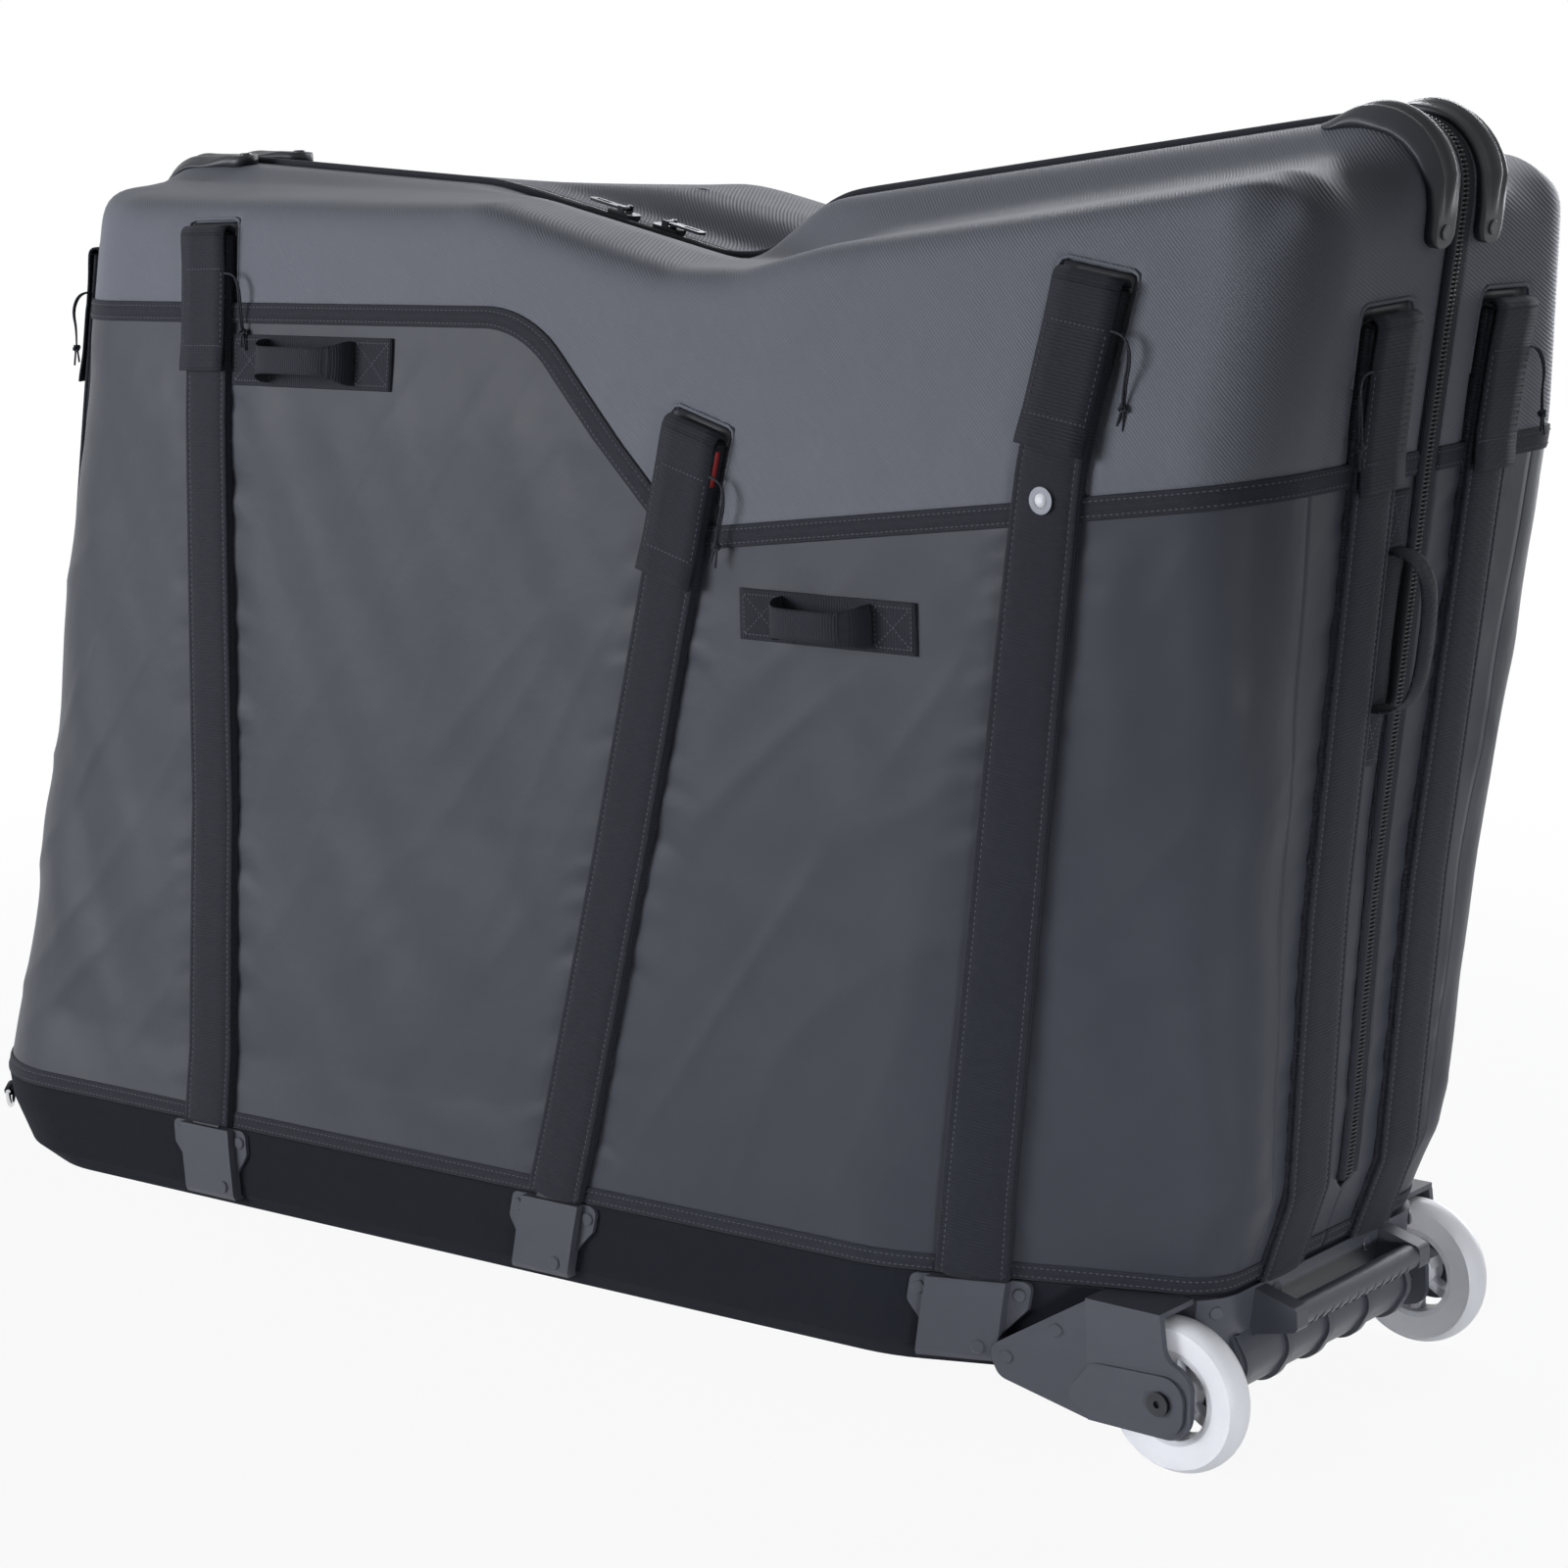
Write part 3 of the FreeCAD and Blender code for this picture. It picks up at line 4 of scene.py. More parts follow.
import bpy
import numpy as np
from mathutils import Matrix, Vector, noise
from mathutils.bvhtree import BVHTree


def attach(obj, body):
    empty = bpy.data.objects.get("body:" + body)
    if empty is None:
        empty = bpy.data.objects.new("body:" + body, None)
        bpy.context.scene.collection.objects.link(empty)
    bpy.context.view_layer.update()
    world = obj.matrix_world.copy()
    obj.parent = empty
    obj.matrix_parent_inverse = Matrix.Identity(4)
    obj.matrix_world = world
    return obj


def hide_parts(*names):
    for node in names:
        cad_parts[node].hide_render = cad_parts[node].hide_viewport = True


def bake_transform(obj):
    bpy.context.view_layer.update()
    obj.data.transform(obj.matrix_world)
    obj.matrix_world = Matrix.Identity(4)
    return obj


# Bike travel case: hard top shells, fabric panels, webbing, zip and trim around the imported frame.
# Shapes are written in the level case frame, in millimetres: U along the case (axle at U = 0, wheels at +U),
# Y across it (front half at -Y) and V up from the tub's underside.

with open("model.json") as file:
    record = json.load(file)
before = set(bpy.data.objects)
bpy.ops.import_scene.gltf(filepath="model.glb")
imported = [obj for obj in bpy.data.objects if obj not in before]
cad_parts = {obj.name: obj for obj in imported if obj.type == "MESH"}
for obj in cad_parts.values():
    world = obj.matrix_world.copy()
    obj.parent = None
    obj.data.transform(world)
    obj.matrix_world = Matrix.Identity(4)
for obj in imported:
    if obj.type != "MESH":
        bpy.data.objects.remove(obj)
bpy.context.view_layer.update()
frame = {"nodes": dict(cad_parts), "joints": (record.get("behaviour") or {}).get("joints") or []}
NODES = frame["nodes"]
JOINTS = {joint["name"]: joint for joint in frame["joints"]}

MM = 0.001
FAR = 400.0
LONG = 1600.0

# Camera, fitted to the photograph: degrees, metres and pixels
CAMERA_AZIMUTH = 40.7755
CAMERA_ELEVATION = 12.7481
CAMERA_ROLL = -0.3563
CAMERA_DISTANCE = 2.7721
CAMERA_TARGET = (-0.48356, 0.0, 0.38177)
FOCAL_PIXELS = 3647.975
IMAGE_PIXELS = 1600
SENSOR = 36.0
CLIP_END = 60.0

# Outline of the case, as in the frame
AXLE_HEIGHT = 5.0
SEAM = 68.1
SKIN_FOOT = 68.5
ZIP_BAND = 12.5
ZIP_FOOT = 124.0
MIDDLE_GAP = 0.6
CORNER_LEVELS = [68.0, 640.0, 900.0]
FAR_CORNERS = [(-1110.0, -135.0), (-1037.0, -72.0), (-1008.0, -63.0)]
WHEEL_CORNERS = [(-21.0, -93.0), (44.0, -143.0), (87.0, -92.0)]
CASE_MIDDLE = Vector((-500.0, 0.0, 420.0))
CORE_LINE = [(-1040.0, 760.0), (-610.0, 745.0), (-410.0, 700.0), (-345.0, 700.0), (-270.0, 718.0),
             (60.0, 775.0)]
BINDING_LINE = [(-LONG, 720.0, 0.0), (-545.0, 724.0, 110.0), (-380.0, 572.0, 90.0), (LONG, 793.0, 0.0)]

# Cells of the shells and panels
SIDE_STEP = 4.0
CORNER_STEPS = 34
END_STEPS = 22
FABRIC_ROWS = 96
SHELL_ROWS = 34
RIM_STEPS = 26
SHELL_WALL = 4.0
SHELL_SOFTENING = 14
EVENING = 7
SPIKE = 1.0
WALL_SAMPLES = (28.0, 60.0)
TOP_SAMPLE = 16.0
RIM_TIGHTNESS = 7.0
FABRIC_WALL = 2.0
WELD = 0.0004
BINDING_GUESS = 650.0
TOP_GUESS = 740.0

# Folds of the fabric: how far off straps, seam and binding they start and are full, and how deep they are
STRAP_HOLD = 40.0
SEAM_HOLD = (8.0, 70.0)
BINDING_HOLD = (6.0, 60.0)
SLACK = 2.2
FAR_SLACK = 2.4
WHEEL_SLACK = 2.0
TUCK = 2.0

# Straps, their flaps and the pressed pockets behind the flaps
STRAP_FOOT = 67.5
STRAP_STEP = 5.0
WEBBING = 50.0
FLAP_WIDTH = 53.0
FLAP_LENGTH = 112.0
FLAP_LOOP = 5.0
FLAP_TURNS = 9
FLAP_THICKNESS = 1.8
FLAP_PLACES = (26.5, 13.0, 0.0, -13.0, -26.5)
SLEEVE_TOP = 8.3
EDGE_STITCH = 20.4
RECESS_DEPTH = 4.0
RECESS_MARGIN = 5.0
LIP_RADIUS = 1.5
LIP_REACH = 48.0
LIP_CORNER = 7.0
LIP_STEP = 4.0
LIP_SINK = 0.7
# Top of the dark plate in each pocket's slot, which paints the slot's shade
PAINTED_SHADE_TOP = -2.2
EYELET_BORE = 5.0

# Handles: middle in U and V, length and height on the side; Y and both ends in V at the wheel end
SIDE_HANDLES = [(-783.0, 686.0, 190.0, 44.0), (-243.0, 524.0, 160.0, 40.0)]
END_HANDLE = (-30.0, 424.0, 610.0)
END_HANDLE_FOOT = 40.0
END_WEBBING = 24.0
PATCH_TOP = 2.1
BOX_INSET = 4.0
LOOP_BASE = 2.6
LOOP_STEPS = 28

# Tapes and zip
BINDING_WIDTH = 16.0
SEAM_TAPE_HEIGHT = 13.0
ZIP_STEP = 3.0
ZIP_DEPTH = -8.0
ZIP_WHEEL_CORE = (50.0, 780.0)
ZIP_FAR_CORE = (-1020.0, 770.0)
ZIP_TOP_CORE = 640.0
ZIP_TAPE_PROFILE = [(-13.5, -2.0), (-13.5, 0.6), (-12.6, 0.9), (-5.0, 0.7), (-0.5, 0.7), (-0.5, -2.0)]
TOOTH_SECTIONS = [(-0.1, 0.7), (-0.9, 1.15), (-3.4, 1.1), (-4.6, 0.6)]
TOOTH_LIFT = 1.5
TOOTH_SHARE = 0.85

# Stitches: spacing and length
LONG_STITCH = (4.4, 3.1)
FLAP_STITCH = (3.6, 2.6)
BOX_STITCH = (3.4, 2.4)
STITCH_WIDTH = 1.2
STITCH_HEIGHT = 0.75

# Pull cord of a strap, from the flap's edge: across, down and out
CORD_ROUTE = [(0, 0, 0), (8, 0, 0), (15, 6, 1), (18, 17, 2), (16, 31, 1), (17, 45, 1)]
CORD_START = 34.0
CORD_LIFT = 9.5
CORD_RADIUS = 1.6
STRAND_START = 0.4
STRAND_TURN = 2.2
KNOT_STEPS = 39
KNOT_TAILS = [(-1, 11.0), (1, 13.5)]

# Case frame

CASE_U = Vector(JOINTS["front_half_open"]["axis"]).normalized()
CASE_Y = Vector((0.0, 1.0, 0.0))
CASE_V = Vector((-CASE_U.z, 0.0, CASE_U.x))
AXLE = Vector(JOINTS["front_wheel_spin"]["pos_m"])
CASE_ORIGIN = Vector((AXLE.x, 0.0, AXLE.z)) - CASE_V * (AXLE_HEIGHT * MM)
CASE_AXES = np.array([CASE_U, CASE_Y, CASE_V])


def to_world(points):
    """Case millimetres to the frame's metres."""
    return np.asarray(points, float) @ CASE_AXES * MM + np.array(CASE_ORIGIN)


def to_case(points):
    """The frame's metres to case millimetres."""
    return (np.asarray(points, float) - np.array(CASE_ORIGIN)) @ CASE_AXES.T / MM


def node_points(name):
    return to_case([vertex.co for vertex in NODES[name].data.vertices])


def surface_tree(names, points=(), faces=()):
    """Ray-cast tree of given points and faces and of some nodes, in case millimetres."""
    points = [Vector(point) for point in points]
    faces = list(faces)
    for name in names:
        start = len(points)
        points += [Vector(point) for point in node_points(name)]
        faces += [[start + i for i in polygon.vertices] for polygon in NODES[name].data.polygons]
    return BVHTree.FromPolygons(points, faces)


PANEL_NODES = ["front_side_panel", "front_wheel_end_panel", "front_far_end_panel"]
SKIN = surface_tree(["front_shell"] + PANEL_NODES)
ZIP_SKIN = surface_tree(["front_zip"])


def cast(start, direction, surface=SKIN):
    """First point of a surface on the way from start, or beside it where the ray runs into a seam."""
    for shift in (0.0, 0.4, -0.4, 1.5, -1.5):
        hit = surface.ray_cast(Vector(start) + Vector((shift, shift, shift)), Vector(direction))[0]
        if hit is not None:
            return hit
    raise ValueError("no surface from %s along %s" % (tuple(start), tuple(direction)))


class View:
    """A side of the front half seen straight on, where a place is a distance along one level axis and V.

    Its rays start far off the case and run against the way out. Its straps lie on columns of some kinds, and
    their pull cords hang off to one side.
    """

    def __init__(self, out, cord_way, axis, kinds, far):
        self.out = Vector(out)
        self.cord_way = Vector(cord_way)
        self.axis = axis
        self.kinds = kinds
        self.far = far

    def flat(self, point):
        return Vector((point[self.axis], point.z))

    def deep(self, place):
        point = Vector((0.0, 0.0, place.y))
        point[self.axis] = place.x
        return point

    def skin(self, place):
        """Point of the dressed skin that is seen at a place."""
        raised = Vector((place.x, max(place.y, SKIN_FOOT)))
        return cast(self.deep(raised) + self.out * self.far, -self.out, DRESSED)


SIDE = View((0, -1, 0), (1, 0, 0), 0, ("far_corner", "side", "wheel_corner"), FAR)
WHEEL_END = View((1, 0, 0), (0, -1, 0), 1, ("wheel_end",), FAR)
FAR_END = View((-1, 0, 0), (0, -1, 0), 1, ("far_end",), LONG)


def smooth_step(low, high, value):
    share = min(1.0, max(0.0, (value - low) / (high - low)))
    return share * share * (3 - 2 * share)


def mix(a, b, share):
    return a + (b - a) * share


def spread(begin, end, count):
    """Places from begin to end with count equal steps between them."""
    return [mix(begin, end, k / count) for k in range(count + 1)]


def running_length(line):
    """Distance of each point of a line from its start."""
    lengths = [0.0]
    for before, after in zip(line, line[1:]):
        lengths.append(lengths[-1] + (after - before).length)
    return lengths


def circle(sides):
    """Angles of a full turn in equal steps."""
    return [2 * math.pi * k / sides for k in range(sides)]


# Objects and meshes

def add_object(name, data):
    added = bpy.data.objects.new(name, data)
    bpy.context.scene.collection.objects.link(added)
    return added


def grid_faces(rows, columns):
    faces = []
    for r in range(rows - 1):
        for c in range(columns - 1):
            a = r * columns + c
            faces.append((a, a + 1, a + columns + 1, a + columns))
    return faces


class Geometry:
    """Points, faces and texture places of one piece, in case millimetres."""

    def __init__(self):
        self.points = []
        self.faces = []
        self.places = []

    def add(self, points, faces, places):
        start = len(self.points)
        self.points += [tuple(point) for point in points]
        self.faces += [tuple(start + i for i in face) for face in faces]
        self.places += places

    def grid(self, rows, places):
        """Open grid of rows of points, with a texture place for each point."""
        columns = len(rows[0])
        faces = grid_faces(len(rows), columns)
        flat = [place for row in places for place in row]
        self.add([point for row in rows for point in row], faces, [[flat[i] for i in face] for face in faces])

    def sweep(self, stations):
        """Closed profile carried along stations, each a list of points, with a cap on both ends."""
        count = len(stations[0])
        along = running_length([station[0] for station in stations])
        around = running_length(stations[0] + stations[0][:1])
        faces = []
        places = []
        for r in range(len(stations) - 1):
            for k in range(count):
                n = (k + 1) % count
                faces.append((r * count + k, r * count + n, (r + 1) * count + n, (r + 1) * count + k))
                places.append([(around[k], along[r]), (around[k + 1], along[r]),
                               (around[k + 1], along[r + 1]), (around[k], along[r + 1])])
        last = (len(stations) - 1) * count
        faces.append(tuple(reversed(range(count))))
        faces.append(tuple(range(last, last + count)))
        places.append([(around[k], 0.0) for k in reversed(range(count))])
        places.append([(around[k], along[-1]) for k in range(count)])
        self.add([point for station in stations for point in station], faces, places)

    def stitch_row(self, path, normals, stitch=LONG_STITCH):
        """Thread stitches along a line on a surface."""
        pitch, length = stitch
        lengths = running_length(path)
        at = pitch / 2
        k = 0
        while at < lengths[-1]:
            while lengths[k + 1] < at:
                k += 1
            share = (at - lengths[k]) / max(lengths[k + 1] - lengths[k], 1e-6)
            centre = path[k].lerp(path[k + 1], share)
            along = (path[k + 1] - path[k]).normalized()
            normal = normals[k]
            across = normal.cross(along).normalized()
            points = [centre - along * (length / 2), centre - across * (STITCH_WIDTH / 2),
                      centre + along * (length / 2), centre + across * (STITCH_WIDTH / 2),
                      centre + normal * STITCH_HEIGHT]
            faces = [(0, 1, 4), (1, 2, 4), (2, 3, 4), (3, 0, 4)]
            self.add(points, faces, [[(0.0, 0.0)] * 3] * len(faces))
            at += pitch

    def soften(self, rounds):
        """Rounds off the surface between its open edges, which stay where they are."""
        points = np.array(self.points)
        keys, same = np.unique(np.round(points, 1), axis=0, return_inverse=True)
        same = same.reshape(-1)
        places = np.zeros((len(keys), 3))
        places[same] = points
        edges = {}
        for face in self.faces:
            for a, b in zip(face, face[1:] + face[:1]):
                pair = (min(same[a], same[b]), max(same[a], same[b]))
                edges[pair] = edges.get(pair, 0) + 1
        pairs = np.array([pair for pair in edges if pair[0] != pair[1]])
        free = np.ones(len(keys), bool)
        for (a, b), uses in edges.items():
            if uses == 1:
                free[[a, b]] = False
        degree = np.bincount(pairs.reshape(-1), minlength=len(keys))[:, None]
        for _ in range(rounds):
            total = np.zeros_like(places)
            np.add.at(total, pairs[:, 0], places[pairs[:, 1]])
            np.add.at(total, pairs[:, 1], places[pairs[:, 0]])
            places[free] = (places[free] + total[free] / degree[free]) / 2
        self.points = [tuple(place) for place in places[same]]

    def make(self, name, material, body, slot, replaces=(), mirror=False, sewn=False):
        """Blender object of the geometry, or of its mirror image, riding on a body.

        A sewn piece stays where it is, at the tub's seam, on no body: its place is baked into its mesh.
        """
        points = np.array(self.points)
        faces = self.faces
        places = self.places
        if mirror:
            points[:, 1] *= -1
            faces = [tuple(reversed(face)) for face in faces]
            places = [list(reversed(place)) for place in places]
        mesh = bpy.data.meshes.new(name)
        mesh.from_pydata(to_world(points).tolist(), [], faces)
        layer = mesh.uv_layers.new(name="UVMap")
        flat = [number * MM for place in places for corner in place for number in corner]
        layer.data.foreach_set("uv", flat)
        mesh.polygons.foreach_set("use_smooth", [True] * len(mesh.polygons))
        mesh.materials.append(material)
        piece = add_object(name, mesh)
        if sewn:
            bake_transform(piece)
        else:
            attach(piece, body)
        if replaces:
            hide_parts(*replaces)
        return piece


SIDES = (("front", False), ("back", True))


def make_both(geometry, name, material, slot, *replaces, sewn=False):
    """The piece on the front half and its mirror image on the back half."""
    pieces = []
    for side, mirror in SIDES:
        stood_for = ["%s_%s" % (side, node) for node in replaces]
        piece = geometry.make("%s_%s_piece" % (side, name), material, side + "_half", slot, stood_for,
                              mirror, sewn)
        pieces.append(piece)
    return pieces


# Materials

WAVE_UNIT = 2 * math.pi / 20


def add_node(tree, kind, output, inputs, **settings):
    """One output of a new shader node, whose inputs are linked or hold a value."""
    node = tree.nodes.new("ShaderNode" + kind)
    for name, value in settings.items():
        setattr(node, name, value)
    for socket, value in inputs.items():
        if isinstance(value, bpy.types.NodeSocket):
            tree.links.new(value, node.inputs[socket])
        else:
            node.inputs[socket].default_value = value
    return node.outputs[output]


def math_node(tree, operation, a, b):
    return add_node(tree, "Math", "Value", {0: a, 1: b}, operation=operation)


def range_node(tree, value, low, high, begin=0.0, end=1.0):
    """Carries a value between begin and end over to low and high."""
    inputs = {"From Min": begin, "From Max": end, "To Min": low, "To Max": high, "Value": value}
    return add_node(tree, "MapRange", "Result", inputs)


class Look:
    """A node material with helpers for its patterns."""

    def __init__(self, name, dark, light, roughness, metallic=0.0, mottling=30.0):
        self.material = bpy.data.materials.new(name)
        self.material.use_nodes = True
        self.tree = self.material.node_tree
        self.shader = self.tree.nodes["Principled BSDF"]
        self.coordinates = self.tree.nodes.new("ShaderNodeTexCoord")
        self.relief = {}
        self.set(Roughness=roughness, Metallic=metallic)
        colours = {"A": (*dark, 1.0), "B": (*light, 1.0), "Factor": self.noise(mottling, 4.0)}
        self.lead(add_node(self.tree, "Mix", "Result", colours, data_type="RGBA"), "Base Color")

    def lead(self, output, socket):
        self.tree.links.new(output, self.shader.inputs[socket])

    def noise(self, scale, detail):
        inputs = {"Scale": scale, "Detail": detail, "Vector": self.coordinates.outputs["Object"]}
        return add_node(self.tree, "TexNoise", "Fac", inputs)

    def wave(self, period, angle, coordinates="UV", tilt=0.0):
        """Parallel ribs of a given period in metres, turned by an angle and tilted."""
        turn = (0.0, math.radians(tilt), math.radians(angle))
        inputs = {"Rotation": turn, "Vector": self.coordinates.outputs[coordinates]}
        turned = add_node(self.tree, "Mapping", "Vector", inputs)
        return add_node(self.tree, "TexWave", "Fac", {"Scale": WAVE_UNIT / period, "Vector": turned})

    def bump(self, height, distance, strength):
        """Adds one layer of relief, its depth in metres, on those before it."""
        inputs = {"Distance": distance, "Strength": strength, "Height": height, **self.relief}
        self.relief["Normal"] = add_node(self.tree, "Bump", "Normal", inputs)
        self.lead(self.relief["Normal"], "Normal")

    def weave(self, first, second):
        return math_node(self.tree, "MULTIPLY", self.wave(*first), self.wave(*second))

    def vary_roughness(self, low, high, scale):
        """Worn and less worn patches."""
        self.lead(range_node(self.tree, self.noise(scale, 6.0), low, high), "Roughness")

    def set(self, **sockets):
        for name, value in sockets.items():
            self.shader.inputs[name.replace("_", " ")].default_value = value


def shell_look():
    look = Look("shell_twill", (0.143, 0.152, 0.174), (0.159, 0.168, 0.192), 0.42)
    look.bump(look.wave(0.0020, -20.0, "Object", 45.0), 0.0004, 0.45)
    look.bump(look.noise(900.0, 2.0), 0.0002, 0.25)
    look.vary_roughness(0.48, 0.58, 12.0)
    look.set(Specular_IOR_Level=0.08)
    return look.material


def panel_look():
    look = Look("coated_fabric", (0.043, 0.0465, 0.058), (0.050, 0.054, 0.066), 0.5)
    look.bump(look.weave((0.0011, 0.0), (0.0011, 90.0)), 0.0001, 0.25)
    look.bump(look.noise(46.0, 5.0), 0.0016, 0.3)
    look.vary_roughness(0.4, 0.52, 20.0)
    look.set(Sheen_Weight=0.04, Specular_IOR_Level=0.17)
    return look.material


def webbing_look(name, dark, light, period, rib_angle=90.0):
    look = Look(name, dark, light, 0.72, mottling=160.0)
    look.bump(look.wave(period, rib_angle), 0.0005, 0.6)
    look.bump(look.weave((period * 0.8, 0.0), (period * 2, 62.0)), 0.0003, 0.5)
    look.set(Sheen_Weight=0.03, Sheen_Roughness=0.5, Specular_IOR_Level=0.12)
    return look.material


def fleece_look():
    look = Look("tub_fleece", (0.0115, 0.013, 0.018), (0.016, 0.018, 0.024), 0.92, mottling=260.0)
    look.bump(look.noise(1500.0, 3.0), 0.0006, 0.5)
    look.set(Sheen_Weight=0.03, Sheen_Roughness=0.6, Specular_IOR_Level=0.08)
    return look.material


def moulded_look(name, dark, light, low, high, grain=1600.0):
    look = Look(name, dark, light, low, mottling=60.0)
    look.bump(look.noise(grain, 2.0), 0.00025, 0.35)
    look.vary_roughness(low, high, 45.0)
    look.set(Specular_IOR_Level=0.3)
    return look.material


def metal_look(name, dark, light, low, high):
    look = Look(name, dark, light, low, metallic=1.0, mottling=120.0)
    look.bump(look.noise(2200.0, 2.0), 0.00006, 0.3)
    look.vary_roughness(low, high, 90.0)
    return look.material


SHELL = shell_look()
PANEL = panel_look()
STRAP = webbing_look("strap_webbing", (0.019, 0.0205, 0.027), (0.027, 0.029, 0.037), 0.0024)
TAPE = webbing_look("seam_tape", (0.021, 0.0225, 0.029), (0.030, 0.032, 0.041), 0.0016, 0.0)
THREAD = moulded_look("thread", (0.065, 0.069, 0.084), (0.090, 0.094, 0.112), 0.6, 0.8)
FLEECE = fleece_look()
PLASTIC = moulded_look("moulded_plastic", (0.064, 0.068, 0.083), (0.076, 0.080, 0.097), 0.34, 0.44)
RUBBER = moulded_look("guard_rubber", (0.024, 0.026, 0.033), (0.031, 0.033, 0.041), 0.34, 0.46)
ZIP_TAPE = webbing_look("zip_tape", (0.018, 0.019, 0.025), (0.026, 0.028, 0.035), 0.0014)
COIL = moulded_look("zip_coil", (0.020, 0.021, 0.026), (0.030, 0.031, 0.037), 0.24, 0.34)
BLACK_METAL = metal_look("black_metal", (0.045, 0.046, 0.052), (0.065, 0.066, 0.073), 0.26, 0.38)
STEEL = metal_look("steel", (0.62, 0.63, 0.65), (0.74, 0.75, 0.77), 0.16, 0.28)
NICKEL = metal_look("nickel", (0.08, 0.085, 0.095), (0.11, 0.115, 0.125), 0.30, 0.40)
ALLOY = moulded_look("hub_alloy", (0.66, 0.67, 0.70), (0.74, 0.75, 0.78), 0.22, 0.32)
TYRE = moulded_look("tyre", (0.87, 0.88, 0.90), (0.91, 0.92, 0.94), 0.34, 0.46, 700.0)
FOAM = fleece_look()
CORD = webbing_look("cord_braid", (0.030, 0.032, 0.040), (0.045, 0.048, 0.058), 0.0016)
POLE = moulded_look("pole_plastic", (0.018, 0.019, 0.023), (0.025, 0.026, 0.031), 0.4, 0.5)
POLE_TIP = moulded_look("pole_tip", (0.34, 0.022, 0.024), (0.42, 0.030, 0.030), 0.38, 0.5)


# Camera

def make_camera():
    azimuth = math.radians(CAMERA_AZIMUTH)
    elevation = math.radians(CAMERA_ELEVATION)
    roll = math.radians(CAMERA_ROLL)
    back = Vector((math.sin(azimuth) * math.cos(elevation), -math.cos(azimuth) * math.cos(elevation),
                   math.sin(elevation)))
    level = Vector((math.cos(azimuth), math.sin(azimuth), 0.0))
    upright = back.cross(level)
    right = level * math.cos(roll) + upright * math.sin(roll)
    up = upright * math.cos(roll) - level * math.sin(roll)
    place = Vector(CAMERA_TARGET) + Vector((AXLE.x, 0.0, 0.0)) + back * CAMERA_DISTANCE
    data = bpy.data.cameras.new("camera")
    data.sensor_width = SENSOR
    data.lens = FOCAL_PIXELS / IMAGE_PIXELS * SENSOR
    data.clip_end = CLIP_END
    camera = add_object("camera", data)
    rotation = Matrix((right, up, back)).transposed().to_4x4()
    camera.matrix_world = Matrix.Translation(place) @ rotation
    bpy.context.scene.camera = camera


# Straps

class Strap:
    """A line drawn on the skin in one view, with its frame at each distance from its start."""

    reach = 16.0
    line_step = 6.0
    cross_step = 5.0

    def __init__(self, view, start, end):
        self.view = view
        self.start = Vector(start)
        self.run = Vector(end) - self.start
        self.length = self.run.length
        self.run.normalize()
        self.side = Vector((-self.run.y, self.run.x))
        self.frames = {}

    def spot(self, s, t):
        return self.view.skin(self.start + self.run * s + self.side * t)

    def frame(self, s):
        """Direction of the line, the way across and the way out."""
        key = round(s, 3)
        if key not in self.frames:
            along = (self.spot(s + self.reach / 2, 0.0) - self.spot(s - self.reach / 2, 0.0)).normalized()
            across = (self.spot(s, self.reach) - self.spot(s, -self.reach)).normalized()
            out = along.cross(across).normalized()
            if out.dot(self.spot(s, 0.0) - CASE_MIDDLE) < 0:
                out.negate()
            self.frames[key] = (along, across, out)
        return self.frames[key]

    def out(self, s):
        return self.frame(s)[2]

    def station(self, s, profile):
        """Profile of (across, out) points laid on the skin."""
        return [self.spot(s, t) + self.out(s) * h for t, h in profile]

    def line(self, t, h, begin, end):
        """Points and normals of a line along the strap."""
        places = spread(begin, end, max(1, int((end - begin) / self.line_step)))
        return [self.spot(s, t) + self.out(s) * h for s in places], [self.out(s) for s in places]

    def cross_line(self, s, h, half):
        """Points and normals of a line across the strap."""
        places = spread(-half, half, max(1, int(2 * half / self.cross_step)))
        return [self.spot(s, t) + self.out(s) * h for t in places], [self.out(s)] * len(places)


STRAPS = {
    "side_far": Strap(SIDE, (-908.0, 788.0), (-896.0, STRAP_FOOT)),
    "side_middle": Strap(SIDE, (-360.0, 652.0), (-518.0, STRAP_FOOT)),
    "side_wheel": Strap(SIDE, (-25.0, 758.0), (-150.0, STRAP_FOOT)),
    "end_wheel": Strap(WHEEL_END, (-74.0, 727.0), (-57.0, STRAP_FOOT)),
    "end_far": Strap(FAR_END, (-104.0, 768.0), (-128.0, STRAP_FOOT)),
}


def half_profile(points):
    """Closed profile from its right half."""
    return points + [(-t, h) for t, h in reversed(points) if t > 0]


SLEEVE_PROFILE = half_profile([(25.0, -3.6), (25.4, 0.6), (25.4, 2.8), (24.7, 3.1), (25.2, 3.5),
                               (25.2, 5.9), (24.5, 6.7), (21.6, 6.9), (20.4, 6.3), (19.2, 7.0),
                               (15.5, 7.9), (8.0, 8.2), (0.0, 8.3)])


def make_sleeves(threads):
    geometry = Geometry()
    for strap in STRAPS.values():
        end = strap.length - 1.0
        places = spread(FLAP_LOOP, end, int((end - FLAP_LOOP) / STRAP_STEP))
        geometry.sweep([strap.station(s, SLEEVE_PROFILE) for s in places])
        for side in (-1, 1):
            threads.stitch_row(*strap.line(side * EDGE_STITCH, 6.4, FLAP_LENGTH - 6.0, end))
    make_both(geometry, "sleeves", STRAP, "webbing", "sleeves")


def flap_station(strap, s, height, lift):
    """Section of a flap: its underside at a height over the skin, and its top side beyond that."""
    under = strap.station(s, [(t, height) for t in FLAP_PLACES])
    return under + [point + lift * FLAP_THICKNESS for point in reversed(under)]


